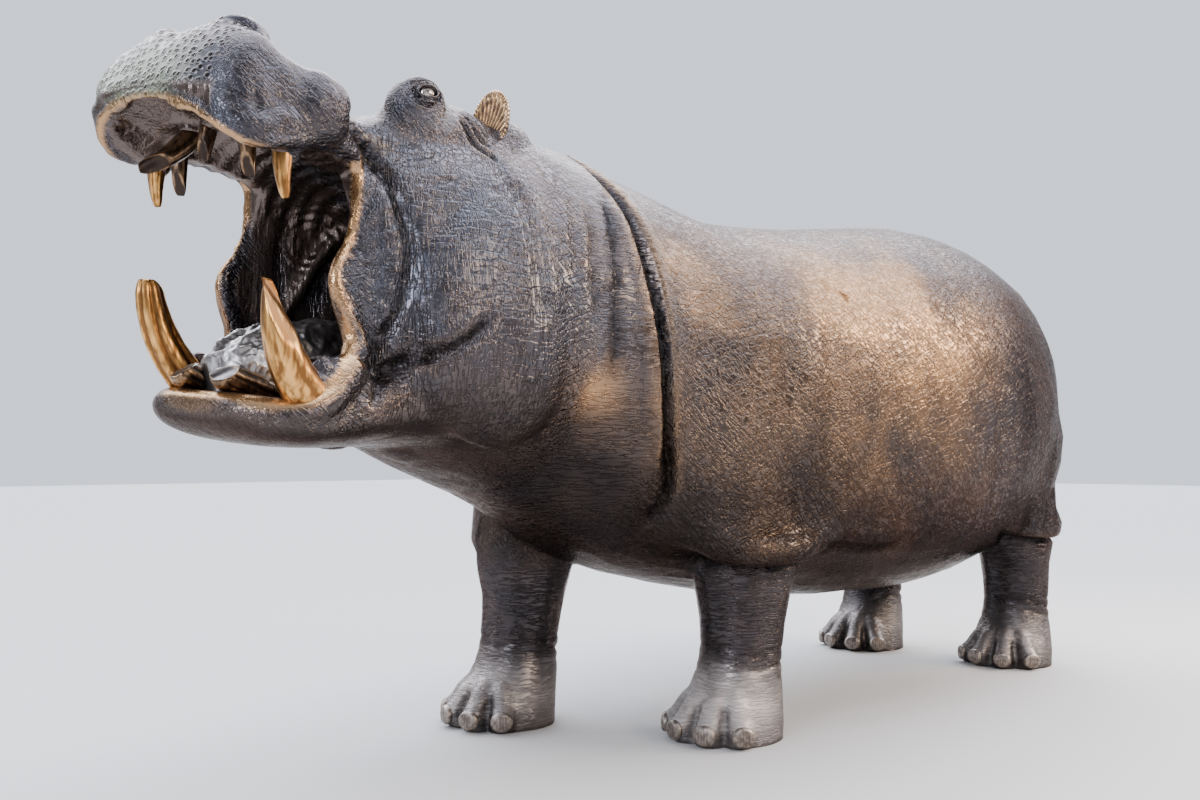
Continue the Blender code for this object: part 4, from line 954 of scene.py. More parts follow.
    # fine grooves, fewer on the snout and where the metal is rubbed
    calm = ease((s - 0.76) / 0.08)
    lined = (1 - 0.85 * ease(gold / 0.5)) * (1 - 0.45 * brow)
    hatch = (1 - cheek) * (1 - leg) * (1 - neck) * (1 - mouth) * (1 - calm * (0.5 + 0.5 * pits)) * lined
    for name, values in (("rubbed", gold), ("deep", deep), ("mouth", mouth), ("dust", dust), ("warm", warm),
                         ("cool", cool), ("painted_shade", below * (1 - dust) * (1 - rim)), ("pits", pits),
                         ("green", green), ("upright_lines", cheek * lined),
                         ("level_lines", np.maximum(0.7 * leg, neck) * lined), ("hatch", hatch)):
        set_attribute(ob, name, values)


# ---------------------------------------------------------------- finishes
def hex_linear(text):
    """Linear colour of an sRGB hex value."""
    values = [int(text[i:i + 2], 16) / 255 for i in (0, 2, 4)]
    return tuple(v / 12.92 if v <= 0.04045 else ((v + 0.055) / 1.055) ** 2.4 for v in values) + (1.0,)


def add(tree, kind, settings=None, inputs=None, out=0):
    """Adds a node with its settings, links or sets its inputs and gives back one output, or all for None."""
    node = tree.nodes.new("ShaderNode" + kind)
    for key, value in (settings or {}).items():
        setattr(node, key, value)
    for key, value in (inputs or {}).items():
        socket = node.inputs[key]
        if isinstance(value, bpy.types.NodeSocket):
            tree.links.new(value, socket)
        else:
            socket.default_value = value
    return node.outputs if out is None else node.outputs[out]


# settings that many nodes share
TIMES, TIMES_PLUS, LARGER = {"operation": "MULTIPLY"}, {"operation": "MULTIPLY_ADD"}, {"operation": "MAXIMUM"}
TIMES_CLAMPED = {"operation": "MULTIPLY", "use_clamp": True}
MINUS_CLAMPED = {"operation": "SUBTRACT", "use_clamp": True}
SMOOTHLY, COLOURED, SCALED = {"interpolation_type": "SMOOTHSTEP"}, {"data_type": "RGBA"}, {"vector_type": "TEXTURE"}


def new_material(name, metallic, roughness):
    mat = bpy.data.materials.new(name)
    mat.use_nodes = True
    shader = mat.node_tree.nodes["Principled BSDF"]
    shader.inputs["Metallic"].default_value = metallic
    shader.inputs["Roughness"].default_value = roughness
    return mat, mat.node_tree, shader


def patinated_bronze():
    """Hollow-cast bronze, brown chemical patina under wax.

    The eye gets a dark satin metal that mirrors the sky softly, worn to gold on
    rims and crests, nearly black in folds, grey-green on the nose and dusty on the feet.
    Light and shade are painted too: shade on belly, undersides, rump and muzzle side,
    patches of warm sunlight on neck and flank, a blue-grey sky sheen on head and neck
    and a highlight on top of the lower lip.
    """
    looks = bpy.context.scene.statue_finish
    mat, tree, shader = new_material("bronze_cast_patinated_waxed", 0.88, 0.36)
    shader.inputs["Specular Tint"].default_value = hex_linear("a89c92")
    shader.inputs["Coat Roughness"].default_value = 0.17
    spot = add(tree, "TexCoord", out="Object")
    mask = {name: add(tree, "Attribute", {"attribute_name": name}, out="Fac")
            for name in ("rubbed", "deep", "mouth", "dust", "warm", "cool", "painted_shade", "pits", "green",
                         "upright_lines", "level_lines", "hatch")}
    # uneven patina: sheets 400 mm across, clouds of 250 mm and blotches of 40 mm
    sheets = add(tree, "TexNoise", None, {"Vector": spot, "Scale": 2.6, "Detail": 3.0, "Roughness": 0.5})
    clouds = add(tree, "TexNoise", None, {"Vector": spot, "Scale": 4.0, "Detail": 5.0, "Roughness": 0.6})
    blotch = add(tree, "TexNoise", None, {"Vector": spot, "Scale": 25.0, "Detail": 4.0, "Roughness": 0.65})
    sheet = add(tree, "MapRange", SMOOTHLY, {"Value": sheets, "From Min": 0.40, "From Max": 0.60})
    cloudy = add(tree, "MapRange", None, {"Value": clouds, "From Min": 0.38, "From Max": 0.64})
    blotchy = add(tree, "MapRange", None, {"Value": blotch, "From Min": 0.40, "From Max": 0.66})

    # net of fine grooves in the hide, long one way: where, turn, length and spacings of the strokes, depth
    height = add(tree, "TexNoise", None, {"Vector": spot, "Scale": 420.0, "Detail": 2.0})
    height = add(tree, "Math", TIMES, {0: height, 1: 0.0003})
    lines = 0.0
    for name, turn, size, depth in (
            ("hatch", (0, math.radians(38), 0), (0.070, 0.013, 0.013), 0.0022),
            ("hatch", (0, -math.radians(20), 0), (0.080, 0.019, 0.020), 0.0016),
            ("upright_lines", (0, 0, 0), (0.011, 0.011, 0.080), 0.0019),
            ("upright_lines", (0, 0, 0), (0.100, 0.100, 0.026), 0.0010),
            ("level_lines", (0, 0, 0), (0.070, 0.070, 0.010), 0.0018)):
        place = add(tree, "Mapping", SCALED, {"Vector": spot, "Rotation": turn, "Scale": size})
        grain = add(tree, "TexNoise", None, {"Vector": place, "Scale": 1.0, "Detail": 2.0, "Roughness": 0.55})
        near = add(tree, "Math", {"operation": "PINGPONG"}, {0: grain, 1: 0.5})
        groove = add(tree, "MapRange", SMOOTHLY, {"Value": near, "From Min": 0.42, "From Max": 0.50})
        groove = add(tree, "Math", TIMES, {0: groove, 1: mask[name]})
        dark = add(tree, "Math", TIMES, {0: groove, 1: min(depth / 0.003, 1.0)})
        lines = add(tree, "Math", LARGER, {0: dark, 1: lines})
        height = add(tree, "Math", TIMES_PLUS, {0: groove, 1: -depth, 2: height})

    # pits 6 mm across and 18 mm apart, each with a raised edge, laid round the nose's level axis
    about = head_point(0.92, 0.0, 1.52) + SHIFT
    nose = add(tree, "Mapping", SCALED, {"Vector": spot, "Location": about, "Rotation": (0, 0, HEAD_YAW)})
    axes = add(tree, "SeparateXYZ", None, {0: nose}, out=None)
    round_it = add(tree, "Math", {"operation": "ARCTAN2"}, {0: axes["Z"], 1: axes["X"]})
    arc = add(tree, "Math", TIMES, {0: round_it, 1: 0.19})
    flat = add(tree, "CombineXYZ", None, {"X": arc, "Y": axes["Y"]})
    cells = add(tree, "TexVoronoi", {"feature": "F1", "voronoi_dimensions": "2D"},
                {"Vector": flat, "Scale": 1 / 0.018, "Randomness": 0.75})
    core = add(tree, "MapRange", SMOOTHLY, {"Value": cells, "From Min": 0.31, "From Max": 0.16})
    ring = add(tree, "MapRange", SMOOTHLY, {"Value": cells, "From Min": 0.52, "From Max": 0.30})
    core = add(tree, "Math", TIMES, {0: core, 1: mask["pits"]})
    ring = add(tree, "Math", TIMES, {0: ring, 1: mask["pits"]})
    # streaks down the walls of the mouth and 7 mm pebbling of the hide
    place = add(tree, "Mapping", SCALED, {"Vector": spot, "Scale": (0.011, 0.011, 0.070)})
    streak = add(tree, "TexNoise", None, {"Vector": place, "Scale": 1.0, "Detail": 3.0})
    streak = add(tree, "Math", TIMES, {0: streak, 1: mask["mouth"]})
    pebble = add(tree, "TexVoronoi", {"feature": "SMOOTH_F1"}, {"Vector": spot, "Scale": 1 / 0.007})
    bare = add(tree, "Math", MINUS_CLAMPED, {0: 1.0, 1: mask["rubbed"]})
    pebble = add(tree, "Math", TIMES, {0: pebble, 1: bare})
    for part, depth in ((core, -0.0042), (ring, 0.0012), (streak, 0.0035), (pebble, -0.0004)):
        height = add(tree, "Math", TIMES_PLUS, {0: part, 1: depth, 2: height})
    relief = add(tree, "Bump", None, {"Strength": 1.0, "Distance": 1.0, "Height": height})
    tree.links.new(relief, shader.inputs["Normal"])
    tree.links.new(relief, shader.inputs["Coat Normal"])

    # colour, from the ground tone up: share, how much at least and at most, tone
    colour = add(tree, "Mix", COLOURED, {0: cloudy, 6: tuple(looks.patina_dark), 7: tuple(looks.patina_brown)}, out=2)
    for share, uneven, least, more, tone in (
            # grey patina with a painted sky sheen on head and neck and painted shade on the rump
            (mask["cool"], blotchy, 0.50, 0.25, looks.patina_cool),
            # golden brown patches of painted sunlight
            (mask["warm"], sheet, 0.10, 0.85, looks.patina_warm),
            # painted shade, nearly black, on belly, undersides, rump and muzzle side
            (mask["painted_shade"], cloudy, 0.85, -0.25, looks.patina_black),
            (mask["mouth"], blotchy, 0.85, 0.0, looks.mouth_dark),
            # rubbed gold, with a painted highlight on top of the lower lip
            (mask["rubbed"], blotchy, 0.75, 0.15, looks.rubbed_gold),
            (mask["green"], blotchy, 0.35, 0.55, looks.verdigris),
            (mask["dust"], cloudy, 0.50, 0.40, looks.dust), (mask["deep"], cloudy, 0.75, 0.0, looks.fold_black),
            (lines, cloudy, 0.42, 0.0, looks.fold_black), (core, cloudy, 0.85, 0.0, looks.fold_black)):
        much = add(tree, "Math", TIMES_PLUS, {0: uneven, 1: more, 2: least})
        much = add(tree, "Math", TIMES_CLAMPED, {0: much, 1: share})
        colour = add(tree, "Mix", COLOURED, {0: much, 6: colour, 7: tuple(tone)}, out=2)
    tree.links.new(colour, shader.inputs["Base Color"])

    # wax makes it smoother, dust and weathering make it matt; the holes hold no wax, and the painted shade holds less
    for socket, start, parts in (
            ("Roughness", 0.25, ((blotchy, 0.10), (mask["dust"], 0.30), (mask["rubbed"], -0.10),
                                 (mask["green"], 0.12))),
            ("Metallic", 0.88, ((mask["dust"], -0.55), (mask["green"], -0.30))),
            ("Coat Weight", 0.40, ((core, -0.40), (lines, -0.25), (mask["deep"], -0.30),
                                   (mask["painted_shade"], -0.30), (mask["dust"], -0.30)))):
        value = start
        for part, change in parts:
            value = add(tree, "Math", TIMES_PLUS, {0: part, 1: change, 2: value})
        tree.links.new(value, shader.inputs[socket])
    return mat


BRONZES = {     # name, dark and bright sRGB colour, roughness, grain in metres, its depth, how far drawn out along Z
    # smooth waxed metal with one small sharp glint, a shade lighter than the lids round it
    "eye": ("bronze_eye_polished", "857b74", "c2b8ae", 0.22, 0.012, 0.0002, 1.0),
    # ribs rubbed to pale gold, the troughs between them still brown
    "ear": ("bronze_ear_rubbed", "544439", "b8966f", 0.38, 0.020, 0.0006, 1.0),
    # gold where hands have rubbed tusks and canines to the metal, brown left in their furrows
    "gold": ("bronze_tooth_rubbed_gold", "76512d", "dba560", 0.34, 0.012, 0.0010, 7.0),
    # incisors out of reach keep their patina, so they stay dark with a dull sheen
    "dark": ("bronze_tooth_patinated", "352c27", "866b50", 0.34, 0.012, 0.0006, 5.0),
    # grey waxed crumples in broken paler patches, the grey lightened as a painted sky reflection
    "tongue": ("bronze_tongue_waxed_painted_sheen", "6e6966", "a8a4a1", 0.40, 0.025, 0.0006, 1.0),
    # dull grey-brown under paving dust, with hardly a highlight
    "nail": ("bronze_nail_dusty", "6f645d", "a0958b", 0.52, 0.012, 0.0006, 1.0),
}


def rubbed_bronze(name, dark, bright, roughness, size, depth, drawn):
    """Cast bronze whose patina has worn thin: warm metal on crests, brown in the hollows."""
    mat, tree, shader = new_material(name, 1.0, roughness)
    spot = add(tree, "TexCoord", out="Object")
    place = add(tree, "Mapping", SCALED, {"Vector": spot, "Scale": (1.0, 1.0, drawn)})
    grain = add(tree, "TexNoise", None, {"Vector": place, "Scale": 1.0 / size, "Detail": 3.0, "Roughness": 0.5})
    worn = add(tree, "MapRange", SMOOTHLY, {"Value": grain, "From Min": 0.28, "From Max": 0.66})
    hollow = add(tree, "Attribute", {"attribute_name": "deep"}, out="Fac")
    share = add(tree, "Math", MINUS_CLAMPED, {0: worn, 1: hollow})
    colour = add(tree, "Mix", COLOURED, {0: share, 6: hex_linear(dark), 7: hex_linear(bright)}, out=2)
    tree.links.new(colour, shader.inputs["Base Color"])
    rough = add(tree, "Math", TIMES_PLUS, {0: worn, 1: -0.12, 2: roughness + 0.06})
    tree.links.new(rough, shader.inputs["Roughness"])
    height = add(tree, "Math", TIMES, {0: grain, 1: depth})
    relief = add(tree, "Bump", None, {"Strength": 1.0, "Distance": 1.0, "Height": height})
    tree.links.new(relief, shader.inputs["Normal"])
    return mat


# ---------------------------------------------------------------- small pieces
def tooth_form(name, spec, side, sides=64, steps=72, flat=1.0, blunt=0.35, grooves=7, groove_depth=0.04,
               facet=None):
    """A curved tooth, furrowed along its length, with a hollow worn face near the tip."""
    base, tip, bow, radius = spec
    p0, p2 = head_point(base[0], side * base[1], base[2]), head_point(tip[0], side * tip[1], tip[2])
    mid = head_point((base[0] + tip[0]) / 2 + bow[0], side * ((base[1] + tip[1]) / 2 + bow[1]),
                     (base[2] + tip[2]) / 2 + bow[2])
    p1 = 2 * mid - (p0 + p2) / 2
    across = (head_point(0, side, 0) - head_point(0, 0, 0)).normalized()
    rings = []
    for k in range(steps + 1):
        u = k / steps
        v = min(u / 0.97, 1.0)
        centre = p0 * (1 - v) ** 2 + p1 * 2 * v * (1 - v) + p2 * v * v
        along = ((p1 - p0) * (1 - v) + (p2 - p1) * v).normalized()
        side_dir = (across - along * across.dot(along)).normalized()
        out = along.cross(side_dir)
        r = radius * (1 - (1 - blunt) * v ** 1.6)
        tip_share = max((u - 0.86) / 0.14, 0.0)
        r *= math.sqrt(max(1.0 - tip_share ** 2.4, 0.02))
        ring = []
        for i in range(sides):
            a = 2 * math.pi * i / sides
            furrow = 1 - groove_depth * (0.5 + 0.5 * math.cos(a * grooves + 0.8 * math.sin(u * 5))) ** 2
            furrow *= 1 + 0.025 * noise.noise((math.cos(a) * 2, math.sin(a) * 2, u * 14 + side))
            ring.append(centre + (side_dir * math.cos(a) * flat + out * math.sin(a)) * r * furrow)
        rings.append(ring)
    ob = add_loft(name, rings)
    if facet:
        toward, start, depth, hollow = facet
        points = points_of(ob)
        axis = (p2 - p0).normalized()
        out = (head_point(toward[0], side * toward[1], toward[2]) - head_point(0, 0, 0)).normalized()
        out = (out - axis * out.dot(axis)).normalized()
        length = (p2 - p0).length
        rel = points - np.array(p2)
        down, off = -(rel @ np.array(axis)) / length, rel @ np.array(out)
        sideways = rel @ np.array(axis.cross(out))
        share = ease((start - down) / 0.10)
        face = radius * blunt * (down * depth * 2.4 - 0.35)
        face -= hollow * bell(sideways / (radius * 0.40)) * ease((start * 0.9 - down) / 0.15)
        limit = np.where(share > 0, face, 9.0)
        excess = np.maximum(off - limit, 0.0) * share
        points -= np.outer(excess, np.array(out))
        set_points(ob, points)
    return ob


def hollow_share(ob, rounds=10, scale=0.0015):
    """Marks the hollows of a piece, for its colour."""
    points, normals = points_of(ob), normals_of(ob)
    rise = ((points - laplace(points, ob, rounds)) * normals).sum(axis=1)
    rise -= np.median(rise)
    set_attribute(ob, "deep", ease(-rise / scale))


def ear_form(name, side):
    """A cup with ribs that fan up from its root, the front edge cut into lobes."""
    s, t, z = EAR
    turn = Euler((-side * EAR_ROLL, 0.0, HEAD_YAW - side * EAR_YAW)).to_matrix()
    centre = head_point(s, side * t, z)
    thick, half, tall = EAR_RADII
    deselect()
    bpy.ops.mesh.primitive_uv_sphere_add(segments=224, ring_count=128, radius=1.0)
    ob = bpy.context.object
    ob.name = name
    x, y, h = points_of(ob).T
    front = x < 0                                   # the head points along its own -x
    q = np.hypot(y, h)
    fan = np.arctan2(y, h + 1.02)                   # the ribs spread from the root
    ribs = np.cos(fan * 46 + 1.2 * np.sin(h * 5)) * ease((h + 0.95) / 0.35)
    dish = ease((0.90 - np.hypot(y, h - 0.04)) / 0.34)
    floor = -0.40 - 0.22 * h
    x_new = np.where(front, x * (1 - dish) + dish * floor + 0.050 * ribs * dish, x)
    turned = bell((np.hypot(y, h - 0.04) - 0.92) / 0.09) * front
    bead = np.cos(np.arctan2(y, h) * 44)
    x_new = x_new - turned * (0.22 + 0.05 * bead)
    scale_out = 1 + 0.012 * bell((q - 0.96) / 0.08) * bead
    points = np.column_stack((x_new * thick, y * half * scale_out, h * tall * scale_out))
    points[:, 0] += 0.0012 * np.cos(fan * 16) * (~front) * ease((0.95 - q) / 0.2)
    set_points(ob, points @ np.array(turn).T + np.array(centre))
    return ob


def eye_form(name, side):
    """An eyeball with a faint ring for the iris and a shallow pupil."""
    along, _, out = eye_axes(side)
    centre = np.array(eye_point(side))
    ob = ball(name, (0, 0, 0), (1.0, 1.0, 1.0), segments=72, rings=48)
    directions = points_of(ob)
    directions /= np.linalg.norm(directions, axis=1)[:, None]
    look = (out * 0.93 + along * 0.12 * side + Vector((0, 0, -0.02))).normalized()
    off = np.arccos(np.clip(directions @ np.array(look), -1, 1)) * EYE_RADIUS
    r = EYE_RADIUS - 0.0007 * bell((off - 0.0088) / 0.0011) - 0.0016 * bell(off / 0.0034)
    set_points(ob, centre + directions * r[:, None])
    return ob


def tongue_form(name):
    """A thick tongue, crumpled like heavy cloth."""
    ob = long_form(name, TONGUE, head_point, TONGUE_POWER, count=176, steps=32)
    points, normals = points_of(ob), normals_of(ob)
    head = head_coordinates(points)
    s, t, _ = head.T
    push = np.full(len(points), -0.014)
    for deep, long, wide, tall, seed in ((0.011, 9, 15, 9, 0.6), (0.007, 20, 30, 20, 5.0), (0.0028, 52, 70, 50, 8.3)):
        push += deep * np.array([1 - 2 * abs(noise.noise((a * long + seed, b * wide, h * tall))) for a, b, h in head])
    push -= 0.012 * bell((t - 0.012 * np.sin(s * 30)) / 0.014) * ease(normals[:, 2] / 0.5) * ease((0.92 - s) / 0.05)
    set_points(ob, points + normals * push[:, None])
    return ob


def nail_form(name, leg, side, angle):
    """A blunt rounded nail, its upper edge lipped by the skin."""
    table, _ = LEGS[leg]
    foot_x, foot_y = table[-1][1], side * table[-1][2]
    a = math.radians(angle)
    ahead = Vector((-math.cos(a), math.sin(a), 0.0))
    centre = Vector((foot_x, foot_y, NAIL_HEIGHT)) + ahead * NAIL_REACH
    ob = ball(name, centre, NAIL_RADII, (0.0, 0.0, -a), segments=48, rings=32)
    points = points_of(ob)
    rel = points - np.array(centre)
    forward = rel @ np.array(ahead)
    sideways = rel @ np.array((-math.sin(a), -math.cos(a), 0.0))
    flatten = np.maximum(forward - 0.012, 0.0) * 0.6
    ridge = 0.00015 * np.cos(sideways * 2 * math.pi / 0.009) * ease(forward / 0.015)
    points += np.outer(ridge - flatten, np.array(ahead))
    set_points(ob, points)
    return ob


# Each kind of tooth: name, finish, left and right form with its options. A facet is the worn face:
# the way it looks, how far it reaches from the tip, its slope and the hollow in it.
LOWER_INCISOR_FORM = (LOWER_INCISOR, dict(blunt=0.88, grooves=9, groove_depth=0.05,
                                          facet=((-0.05, 0.25, 1.0), 0.30, 2.4, 0.004)))
TEETH = (
    ("lower_tusk_", "gold",
     (LOWER_TUSK_LEFT, dict(flat=0.84, blunt=0.42, grooves=7, groove_depth=0.05,
                            facet=((-0.25, 0.96, 0.0), 0.55, 1.9, 0.016))),
     (LOWER_TUSK_RIGHT, dict(flat=0.78, blunt=0.60, grooves=7, groove_depth=0.12,
                             facet=((-0.80, 0.60, 0.0), 0.22, 1.8, 0.003)))),
    ("lower_incisor_", "dark", LOWER_INCISOR_FORM, LOWER_INCISOR_FORM),
    ("upper_canine_", "gold",
     (UPPER_CANINE, dict(blunt=0.34, grooves=9, groove_depth=0.03)),
     (UPPER_CANINE, dict(blunt=0.34, grooves=9, groove_depth=0.05))),
    ("upper_inner_incisor_", "dark",
     (UPPER_INNER_LEFT, dict(steps=40, blunt=0.66, grooves=9, groove_depth=0.03,
                             facet=((0.9, 0.2, 0.0), 0.45, 2.0, 0.003))),
     (UPPER_INNER_RIGHT, dict(blunt=0.58, grooves=9, groove_depth=0.03,
                              facet=((-0.4, -0.9, 0.2), 0.34, 1.8, 0.004)))),
    ("upper_outer_incisor_", "dark",
     (UPPER_OUTER_LEFT, dict(steps=40, blunt=0.60, grooves=9, groove_depth=0.03,
                             facet=((0.8, 0.4, 0.0), 0.45, 2.0, 0.003))),
     (UPPER_OUTER_RIGHT, dict(steps=40, blunt=0.60, grooves=9, groove_depth=0.03,
                              facet=((0.8, -0.4, 0.0), 0.45, 2.0, 0.003)))),
)


# ---------------------------------------------------------------- what can be changed
class StatueSizes(bpy.types.PropertyGroup):
    """Sizes that set the fineness of the skin and the stage"""
    skin_grain: bpy.props.FloatProperty(
        name="Skin grain", description="Size of the facets the body is fused from", default=0.0074,
        min=0.005, max=0.03, unit="LENGTH", precision=4)
    skin_facets: bpy.props.IntProperty(
        name="Skin facets", description="Triangles left in the finished skin", default=192000,
        min=20000, max=199000)
    floor_size: bpy.props.FloatProperty(
        name="Floor", description="Side of the square floor", default=60.0, unit="LENGTH")


PALETTE = (                     # property, name, description, sRGB colour
    ("patina_dark", "Dark patina", "Brown patina in the shade of the clouds", "362f2c"),
    ("patina_brown", "Brown patina", "Lighter brown patina", "574639"),
    # painted patches of warm sunlight on neck and flank
    ("patina_warm", "Painted sunlight", "Golden brown patches of painted sunlight", "b48a60"),
    # grey patina tinted as a painted sky sheen on head and neck, painted shade on the rump
    ("patina_cool", "Grey patina, painted sheen and shade", "Grey patina tinted as a painted sky sheen on head and neck, painted shade on the rump", "444853"),
    # painted shade on belly, undersides, legs, rump and muzzle side
    ("patina_black", "Painted black shade", "Painted shade on belly, chest, legs, undersides, rump and muzzle side", "2b2626"),
    # rubbed gold, and a painted highlight on top of the lower lip
    ("rubbed_gold", "Rubbed gold and painted highlight", "Bare bronze on rims and crests, painted highlight on top of the lower lip", "bd9160"),
    ("verdigris", "Grey-green patina", "Weathered patina on the front of the nose", "7f8569"),
    ("dust", "Dust", "Paving dust on the feet", "c4bab3"),
    ("mouth_dark", "Mouth", "Patina inside the mouth", "5a4c44"),
    ("fold_black", "Folds", "Patina and dirt in the folds", "16120f"),
)


class StatueFinish(bpy.types.PropertyGroup):
    """Colours of the patina and of the painted light and shade"""
    __annotations__ = {key: bpy.props.FloatVectorProperty(name=name, description=description, size=4,
                                                          subtype="COLOR", default=hex_linear(colour))
                       for key, name, description, colour in PALETTE}


# ---------------------------------------------------------------- operators
FLOOR_DROP = 0.0005             # the floor lies just under the soles
CAMERA_LENS = 34.2              # mm, on a sensor 36 mm wide
CAMERA_PLACE = (-3.352, -2.483, 0.82)
CAMERA_AHEAD = (0.693, 0.721, math.tan(0.0485))
PANELS = (                      # name, place, aim, width, depth, watts, sRGB colour
    ("sky_panel", (0.3, -1.0, 4.6), (0.0, 0.0, 1.0), 4.6, 2.2, 170.0, "eef3ff"),
    ("key_panel", (0.4, -5.2, 3.2), (0.3, 0.0, 1.1), 1.6, 1.2, 150.0, "ffe8d0"),
    ("flank_panel", (3.7, -2.7, 2.7), (0.2, -0.5, 1.2), 1.8, 1.2, 200.0, "ffe4c4"),
    ("front_panel", (-5.6, -1.6, 2.6), (-1.6, 0.0, 1.2), 1.8, 1.6, 170.0, "e6eeff"),
)


class STATUE_OT_stage(bpy.types.Operator):
    """Floor, soft studio light and camera"""
    bl_idname = "statue.stage"
    bl_label = "Stage"

    def execute(self, context):
        deselect()
        size = context.scene.statue_sizes.floor_size
        bpy.ops.mesh.primitive_plane_add(size=size, location=(0, 0, -FLOOR_DROP))
        floor = context.object
        floor.name = floor.data.name = "studio_floor"
        bpy.ops.object.transform_apply(location=True, rotation=True, scale=True)
        # matt painted board: pale, with a soft contact shadow and no mirror image
        mat, _, shader = new_material("studio_floor_matt", 0.0, 0.8)
        shader.inputs["Base Color"].default_value = hex_linear("b4b1ae")
        floor.data.materials.append(mat)

        world = bpy.data.worlds.new("studio")
        context.scene.world = world
        world.use_nodes = True
        tree = world.node_tree
        background = tree.nodes["Background"]
        spot = add(tree, "TexCoord", out="Generated")
        height = add(tree, "SeparateXYZ", None, {0: spot}, out="Z")
        behind = add(tree, "VectorMath", {"operation": "DOT_PRODUCT"}, {0: spot, 1: (0.69, 0.72, 0.0)}, out="Value")
        far = add(tree, "MapRange", SMOOTHLY, {"Value": behind, "From Min": -0.35, "From Max": 0.65})
        up = add(tree, "MapRange", SMOOTHLY, {"Value": height, "From Min": 0.0, "From Max": 0.65})
        share = add(tree, "Math", LARGER, {0: far, 1: up})
        sky = add(tree, "Mix", COLOURED, {0: share, 6: hex_linear("3f4044"), 7: hex_linear("dfe6f4")}, out=2)
        tree.links.new(sky, background.inputs["Color"])
        # the sky glows behind the statue, above the picture
        glow = add(tree, "MapRange", SMOOTHLY, {"Value": height, "From Min": 0.375, "From Max": 0.48, "To Max": 10.0})
        glow = add(tree, "Math", TIMES_PLUS, {0: glow, 1: far, 2: 1.45})
        tree.links.new(glow, background.inputs["Strength"])

        for name, place, aim, width, depth, power, tint in PANELS:
            light = bpy.data.lights.new(name, "AREA")
            light.shape, light.size, light.size_y, light.energy = "RECTANGLE", width, depth, power
            light.color = hex_linear(tint)[:3]
            ob = bpy.data.objects.new(name, light)
            context.scene.collection.objects.link(ob)
            ob.location = place
            ob.rotation_euler = (Vector(aim) - Vector(place)).to_track_quat("-Z", "Y").to_euler()

        lens = bpy.data.cameras.new("camera")
        lens.lens, lens.sensor_width = CAMERA_LENS, 36.0
        camera = bpy.data.objects.new("camera", lens)
        context.scene.collection.objects.link(camera)
        camera.location = Vector(CAMERA_PLACE) + SHIFT
        camera.rotation_euler = Vector(CAMERA_AHEAD).to_track_quat("-Z", "Y").to_euler()
        context.scene.camera = camera
        return {"FINISHED"}


class STATUE_OT_skin(bpy.types.Operator):
    """The whole hide from nose to tail, as one casting"""
    bl_idname = "statue.skin"
    bl_label = "Skin"

    def execute(self, context):
        sizes = context.scene.statue_sizes
        head = remesh(join("head", head_forms()), sizes.skin_grain)
        apply_modifier(head, "SMOOTH", factor=0.5, iterations=4)
        cut(head, long_form("palate_room", PALATE, head_point, PALATE_POWER))
        cut(head, long_form("trough_room", TROUGH, head_point, TROUGH_POWER))
        skin = join("hide", [head] + mouth_forms() + body_forms())
        remesh(skin, sizes.skin_grain)
        apply_modifier(skin, "SMOOTH", factor=0.5, iterations=6)
        sculpt(skin, fold_form)
        sculpt_skirts(skin)
        for form in (pleat_form, nose_form, mouth_form, hide_form):
            sculpt(skin, form)
        points = laplace(points_of(skin), skin, 1)
        points[:, 0] += NOSE_SNUB * ease((head_coordinates(points)[:, 0] - 1.06) / 0.07)
        set_points(skin, points)
        refine_eyes(skin)
        sculpt_eyes(skin)
        level_soles(skin)
        paint_skin(skin)
        thin_out(skin, sizes.skin_facets)
        nodes = [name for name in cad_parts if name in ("head", "lower_jaw", "neck", "trunk", "tail")
                 or name.startswith(("leg_", "foot_"))]
        finish_piece(skin, "hide", nodes, patinated_bronze())
        return {"FINISHED"}


class STATUE_OT_eyes(bpy.types.Operator):
    """Both eyeballs"""
    bl_idname = "statue.eyes"
    bl_label = "Eyes"

    def execute(self, context):
        mat = rubbed_bronze(*BRONZES["eye"])
        for word, side in SIDES:
            ob = eye_form("eyeball_" + word, side)
            hollow_share(ob, 6, 0.0004)
            finish_piece(ob, "eyeball_" + word, ["eye_" + word], mat)
        return {"FINISHED"}


class STATUE_OT_ears(bpy.types.Operator):
    """Both ears"""
    bl_idname = "statue.ears"
    bl_label = "Ears"

    def execute(self, context):
        mat = rubbed_bronze(*BRONZES["ear"])
        for word, side in SIDES:
            ob = ear_form("ear_cup_" + word, side)
            hollow_share(ob, 24, 0.0013)
            finish_piece(ob, "ear_cup_" + word, ["ear_" + word], mat)
        return {"FINISHED"}


class STATUE_OT_teeth(bpy.types.Operator):
    """Tusks, canines and incisors"""
    bl_idname = "statue.teeth"
    bl_label = "Teeth"

    def execute(self, context):
        mats = {finish: rubbed_bronze(*BRONZES[finish]) for finish in ("gold", "dark")}
        for label, finish, *forms in TEETH:
            for (word, side), (spec, options) in zip(SIDES, forms):
                ob = tooth_form("form", spec, side, **options)
                hollow_share(ob, 30, 0.0010)
                finish_piece(ob, label + "form_" + word, [label + word], mats[finish])
        return {"FINISHED"}


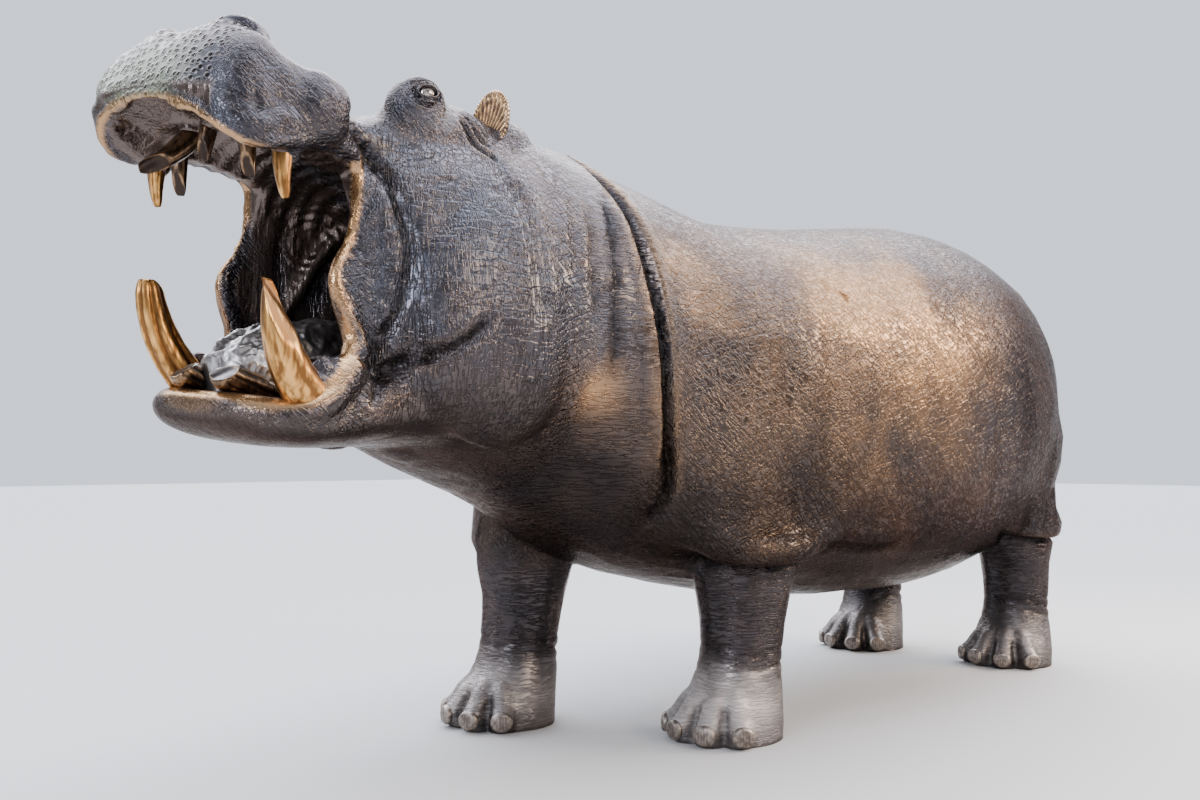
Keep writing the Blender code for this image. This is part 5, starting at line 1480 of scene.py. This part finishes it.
class STATUE_OT_tongue(bpy.types.Operator):
    """Tongue"""
    bl_idname = "statue.tongue"
    bl_label = "Tongue"

    def execute(self, context):
        mat = rubbed_bronze(*BRONZES["tongue"])
        ob = tongue_form("tongue_form")
        hollow_share(ob, 40, 0.0070)
        finish_piece(ob, "tongue_form", ["tongue"], mat)
        return {"FINISHED"}


class STATUE_OT_nails(bpy.types.Operator):
    """Sixteen toenails"""
    bl_idname = "statue.nails"
    bl_label = "Nails"

    def execute(self, context):
        mat = rubbed_bronze(*BRONZES["nail"])
        for leg, (_, side) in LEGS.items():
            for i, angle in enumerate(TOE_ANGLES):
                name = "nail_%s_%d" % (leg, i + 1)
                ob = nail_form(name, leg, side, -side * angle)
                hollow_share(ob, 6, 0.0005)
                finish_piece(ob, "toe" + name, [name], mat)
        return {"FINISHED"}


class STATUE_PT_panel(bpy.types.Panel):
    """Lists the pieces of the statue"""
    bl_label = "Bronze hippopotamus"
    bl_idname = "STATUE_PT_panel"
    bl_space_type = "VIEW_3D"
    bl_region_type = "UI"
    bl_category = "Statue"

    def draw(self, context):
        for group in (context.scene.statue_sizes, context.scene.statue_finish):
            box = self.layout.box()
            for name in group.__annotations__:
                box.prop(group, name)
        for step in STEPS:
            self.layout.operator(step.bl_idname)


STEPS = (STATUE_OT_stage, STATUE_OT_skin, STATUE_OT_eyes, STATUE_OT_ears, STATUE_OT_teeth, STATUE_OT_tongue,
         STATUE_OT_nails)
CLASSES = (StatueSizes, StatueFinish) + STEPS + (STATUE_PT_panel,)


def register():
    for cls in CLASSES:
        bpy.utils.register_class(cls)
    bpy.types.Scene.statue_sizes = bpy.props.PointerProperty(type=StatueSizes)
    bpy.types.Scene.statue_finish = bpy.props.PointerProperty(type=StatueFinish)


def unregister():
    del bpy.types.Scene.statue_sizes
    del bpy.types.Scene.statue_finish
    for cls in reversed(CLASSES):
        bpy.utils.unregister_class(cls)


def main():
    register()
    for step in STEPS:
        group, name = step.bl_idname.split(".")
        getattr(getattr(bpy.ops, group), name)()


if __name__ == "__main__":
    main()
